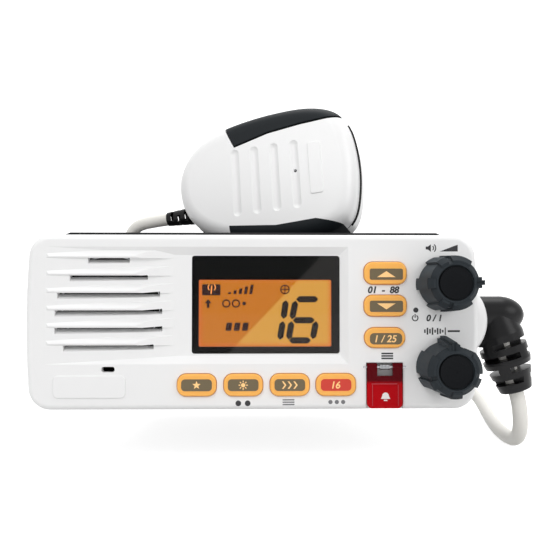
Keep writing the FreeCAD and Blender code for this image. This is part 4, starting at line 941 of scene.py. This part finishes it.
def lcdGlobe(x, z, r, wide, cross, crossWide):
    return [bow(x, z, r, wide, 0, 360, 30), stroke(x - cross, z, x + cross, z, crossWide),
            stroke(x, z - cross, x, z + cross, crossWide)]


def lcdListMarks(what):
    return [leaning(pillOutline(what["x"] + what["step"] * i, what["z"], *what["size"]),
                    what["z"]) for i in range(what["count"])]


def lcdPiece(name, outlines, finish, proud=0.0):
    flatPiece(name, outlines, lcdSet["front"] - proud, lcdSet["thick"], finish, "root")


def makeLcdSigns(what):
    rings = what["rings"]
    signs = [pillOutline(*what["block"])] + lcdBars(what["bars"]) + lcdGlobe(**what["globe"])
    signs += [what["arrowHead"], stroke(*what["arrowStem"])]
    signs += [bow(x, rings["z"], rings["r"], rings["wide"], 0, 360, 26)
              for x in rings["places"]]
    signs += [discOutline(*what["dot"])] + lcdListMarks(what["listMarks"])
    lcdPiece("lcdSigns", signs, "lcdWordInk")
    waves = what["mastWaves"]
    mast = [stroke(*what["mast"])]
    mast += [bow(*waves["at"], waves["r"], waves["wide"], side - waves["turn"],
                 side + waves["turn"]) for side in waves["sides"]]
    lcdPiece("lcdBlockSign", mast, "lcdLight", what["blockSignProud"])
    digits = [segment(*digit, what["digitWide"]) for digit in what["digits"]]
    lcdPiece("lcdDigits", digits, "lcdInk")


makeLcdSigns(lcdSet)
print("display lit")

# Flip cover: a moulded line over its lower half and down its sides, drawn as a lighter red
# painted sheen, and a white bell
coverSet = {
    "front": -61.58,
    "lip": (53.3, -25.1, 10.4, 0.34, 0.15),
    "lipSides": (48.4, 58.9),
    "sideEnds": (-25.4, -34.0),
    "sideWide": 0.22,
    "lipSink": 0.02,
    "lipThick": 0.06,
    "bell": (53.7, -30.3),
    "bellThick": 0.08,
    "foot": (1.9, -0.9),
    "dome": 1.35,
    "domeUp": 0.35,
    "domeStep": 15,
    "clapperUp": -1.45,
    "clapper": (1.5, 0.5, 0.2),
}


def coverLipSheen(what):
    top, end = what["sideEnds"]
    return [pillOutline(*what["lip"])] + [stroke(x, top, x, end, what["sideWide"])
                                          for x in what["lipSides"]]


def coverBell(what):
    x, z = what["bell"]
    half, foot = what["foot"]
    dome = [(x - half, z + foot)]
    for angle in range(180, -1, -what["domeStep"]):
        a = math.radians(angle)
        dome.append((x + what["dome"] * math.cos(a),
                     z + what["domeUp"] + what["dome"] * math.sin(a)))
    dome.append((x + half, z + foot))
    return [dome, pillOutline(x, z + what["clapperUp"], *what["clapper"])]


# a lighter red sheet along the moulded line: painted sheen
flatPiece("coverLipSheen", coverLipSheen(coverSet), coverSet["front"] + coverSet["lipSink"],
          coverSet["lipThick"], "redSheen", "cover")
flatPiece("coverBell", coverBell(coverSet), coverSet["front"], coverSet["bellThick"],
          "whiteInk", "cover")
print("cover marked")

# Raised lip of the handset's rubber seam, along the stretches that the grips leave open
lipSet = {
    "place": (7.5, 16.0, 68.0),
    "turn": 18.0,
    "lean": 8.0,
    "roll": 6.0,
    "middle": 0.45,
    "proud": 0.95,
    "half": 0.65,
    "sides": 10,
    "angleStep": 2.5,
    "widestGap": 20.0,
}


def handsetMatrix(what):
    turns = Matrix.Rotation(math.radians(-what["turn"]), 4, "Z")
    turns = turns @ Matrix.Rotation(math.radians(-what["lean"]), 4, "X")
    turns = turns @ Matrix.Rotation(math.radians(-what["roll"]), 4, "Y")
    return Matrix.Translation(Vector(what["place"]) * mm) @ turns


# Keeps the points where a stretch bulges outwards, so that no dent of the mesh is followed
def outerChain(stretch):
    chain = []
    for x, z in stretch:
        while len(chain) > 1:
            (ax, az), (bx, bz) = chain[-2:]
            if (bx - ax) * (z - az) - (bz - az) * (x - ax) > 0:
                break
            chain.pop()
        chain.append((x, z))
    return chain


# Outermost points of the seam in the handset's own plane, as one list for each stretch
def seamStretches(what):
    home = handsetMatrix(what).inverted()
    widest = {}
    for vertex in nodes["mic_seam"].data.vertices:
        spot = home @ vertex.co
        key = round(math.degrees(math.atan2(spot.z, spot.x)) / what["angleStep"])
        reach = math.hypot(spot.x, spot.z)
        if key not in widest or reach > widest[key][0]:
            widest[key] = (reach, spot.x, spot.z)
    keys = sorted(widest)
    count = len(keys)
    turns = round(360 / what["angleStep"])
    gaps = [(keys[(i + 1) % count] - key) % turns for i, key in enumerate(keys)]
    isOpen = [gap * what["angleStep"] > what["widestGap"] for gap in gaps]
    first = isOpen.index(True) + 1
    stretches = [[]]
    for i in range(first, first + count):
        stretches[-1].append(widest[keys[i % count]][1:])
        if isOpen[i % count]:
            stretches.append([])
    return [outerChain(stretch[1:-1]) for stretch in stretches[:-1]]


# One oval ring of the lip, square to its stretch at point i
def lipRing(stretch, i, what):
    x, z = stretch[i]
    before = stretch[max(i - 1, 0)]
    after = stretch[min(i + 1, len(stretch) - 1)]
    way = Vector((after[1] - before[1], before[0] - after[0])).normalized()
    ring = []
    for k in range(what["sides"]):
        a = 2 * math.pi * k / what["sides"]
        out = what["proud"] * mm * math.cos(a)
        y = (what["middle"] + what["half"] * math.sin(a)) * mm
        ring.append((x + way.x * out, y, z + way.y * out))
    return ring


def makeSeamLip(what):
    points = []
    faces = []
    sides = what["sides"]
    for stretch in seamStretches(what):
        start = len(points)
        last = len(stretch) - 1
        for i in range(last + 1):
            points += lipRing(stretch, i, what)
        for i in range(last):
            a = start + i * sides
            for k in range(sides):
                b = (k + 1) % sides
                faces.append([a + k, a + b, a + sides + b, a + sides + k])
        faces.append([start + k for k in reversed(range(sides))])
        faces.append([start + last * sides + k for k in range(sides)])
    mesh = bpy.data.meshes.new("seamLip")
    mesh.from_pydata(points, [], faces)
    mesh.transform(handsetMatrix(what))
    for face in mesh.polygons:
        face.use_smooth = True
    addPiece("seamLip", mesh, "blackRubber", "mic")


makeSeamLip(lipSet)
print("seam lip made")

# Floor, backdrop and light
stageSet = {
    "floor": -59.3,
    "near": -2600.0,
    "far": 900.0,
    "rise": 1500.0,
    "bend": 400.0,
    "bendSteps": 12,
    "half": 2600.0,
    "paper": (0.6, 0.6, 0.6, 1),
    "roughness": 0.9,
    "shine": 0.1,
    "lift": 0.85,  # brings the paper near white and keeps the shadow on it
}


# 1 for a ray from the camera, off something shiny or through something clear
def seenRays(tree):
    rays = tree.nodes.new("ShaderNodeLightPath")
    seen = rays.outputs["Is Camera Ray"]
    for other in ("Is Glossy Ray", "Is Transmission Ray"):
        both = tree.nodes.new("ShaderNodeMath")
        both.operation = "MAXIMUM"
        tree.links.new(seen, both.inputs[0])
        tree.links.new(rays.outputs[other], both.inputs[1])
        seen = both.outputs[0]
    return seen


def floorPaper(what):
    material = bpy.data.materials.new("floorPaper")
    material.use_nodes = True
    tree = material.node_tree
    shader = tree.nodes["Principled BSDF"]
    shader.inputs["Base Color"].default_value = what["paper"]
    shader.inputs["Roughness"].default_value = what["roughness"]
    shader.inputs["Specular IOR Level"].default_value = what["shine"]
    lift = tree.nodes.new("ShaderNodeMath")
    lift.operation = "MULTIPLY"
    lift.inputs[1].default_value = what["lift"]
    tree.links.new(seenRays(tree), lift.inputs[0])
    shader.inputs["Emission Color"].default_value = (1, 1, 1, 1)
    tree.links.new(lift.outputs[0], shader.inputs["Emission Strength"])
    return material


def makeStage(what):
    line = [(what["near"], what["floor"])]
    for i in range(what["bendSteps"] + 1):
        a = math.radians(90 * i / what["bendSteps"])
        line.append((what["far"] + what["bend"] * math.sin(a),
                     what["floor"] + what["bend"] * (1 - math.cos(a))))
    line.append((what["far"] + what["bend"], what["rise"]))
    half = what["half"] * mm
    points = []
    faces = []
    for y, z in line:
        points += [(-half, y * mm, z * mm), (half, y * mm, z * mm)]
    for i in range(len(line) - 1):
        faces.append([2 * i, 2 * i + 1, 2 * i + 3, 2 * i + 2])
    mesh = bpy.data.meshes.new("floor")
    mesh.from_pydata(points, [], faces)
    for face in mesh.polygons:
        face.use_smooth = True
    mesh.materials.append(floorPaper(what))
    floor = bpy.data.objects.new("floor", mesh)
    scene.collection.objects.link(floor)


makeStage(stageSet)

lightSet = {
    "world": 0.66,
    "lamps": {
        "keyLamp": {"at": (-500, -900, 900), "to": (0, 0, 10), "size": 700, "watts": 4.9},
        "fillLamp": {"at": (900, -700, 500), "to": (0, 0, 10), "size": 700, "watts": 3.3},
        "topLamp": {"at": (100, 200, 1100), "to": (0, 0, 0), "size": 900, "watts": 6.5},
    },
}


# White where it is seen, and weaker where it lights the object
def makeWorld(strength):
    world = bpy.data.worlds.new("world")
    scene.world = world
    world.use_nodes = True
    tree = world.node_tree
    base = tree.nodes["Background"]
    base.inputs["Color"].default_value = (1, 1, 1, 1)
    spread = tree.nodes.new("ShaderNodeMapRange")
    spread.inputs["To Min"].default_value = strength
    spread.inputs["To Max"].default_value = 1.0
    tree.links.new(seenRays(tree), spread.inputs["Value"])
    tree.links.new(spread.outputs["Result"], base.inputs["Strength"])


def makeLamp(name, lamp):
    data = bpy.data.lights.new(name, "AREA")
    data.shape = "DISK"
    data.size = lamp["size"] * mm
    data.energy = lamp["watts"]
    light = bpy.data.objects.new(name, data)
    at = Vector(lamp["at"]) * mm
    light.location = at
    ahead = Vector(lamp["to"]) * mm - at
    light.rotation_euler = ahead.to_track_quat("-Z", "Y").to_euler()
    scene.collection.objects.link(light)


makeWorld(lightSet["world"])
for name, lamp in lightSet["lamps"].items():
    makeLamp(name, lamp)
scene.view_settings.view_transform = "Standard"
print("stage and lamps set")
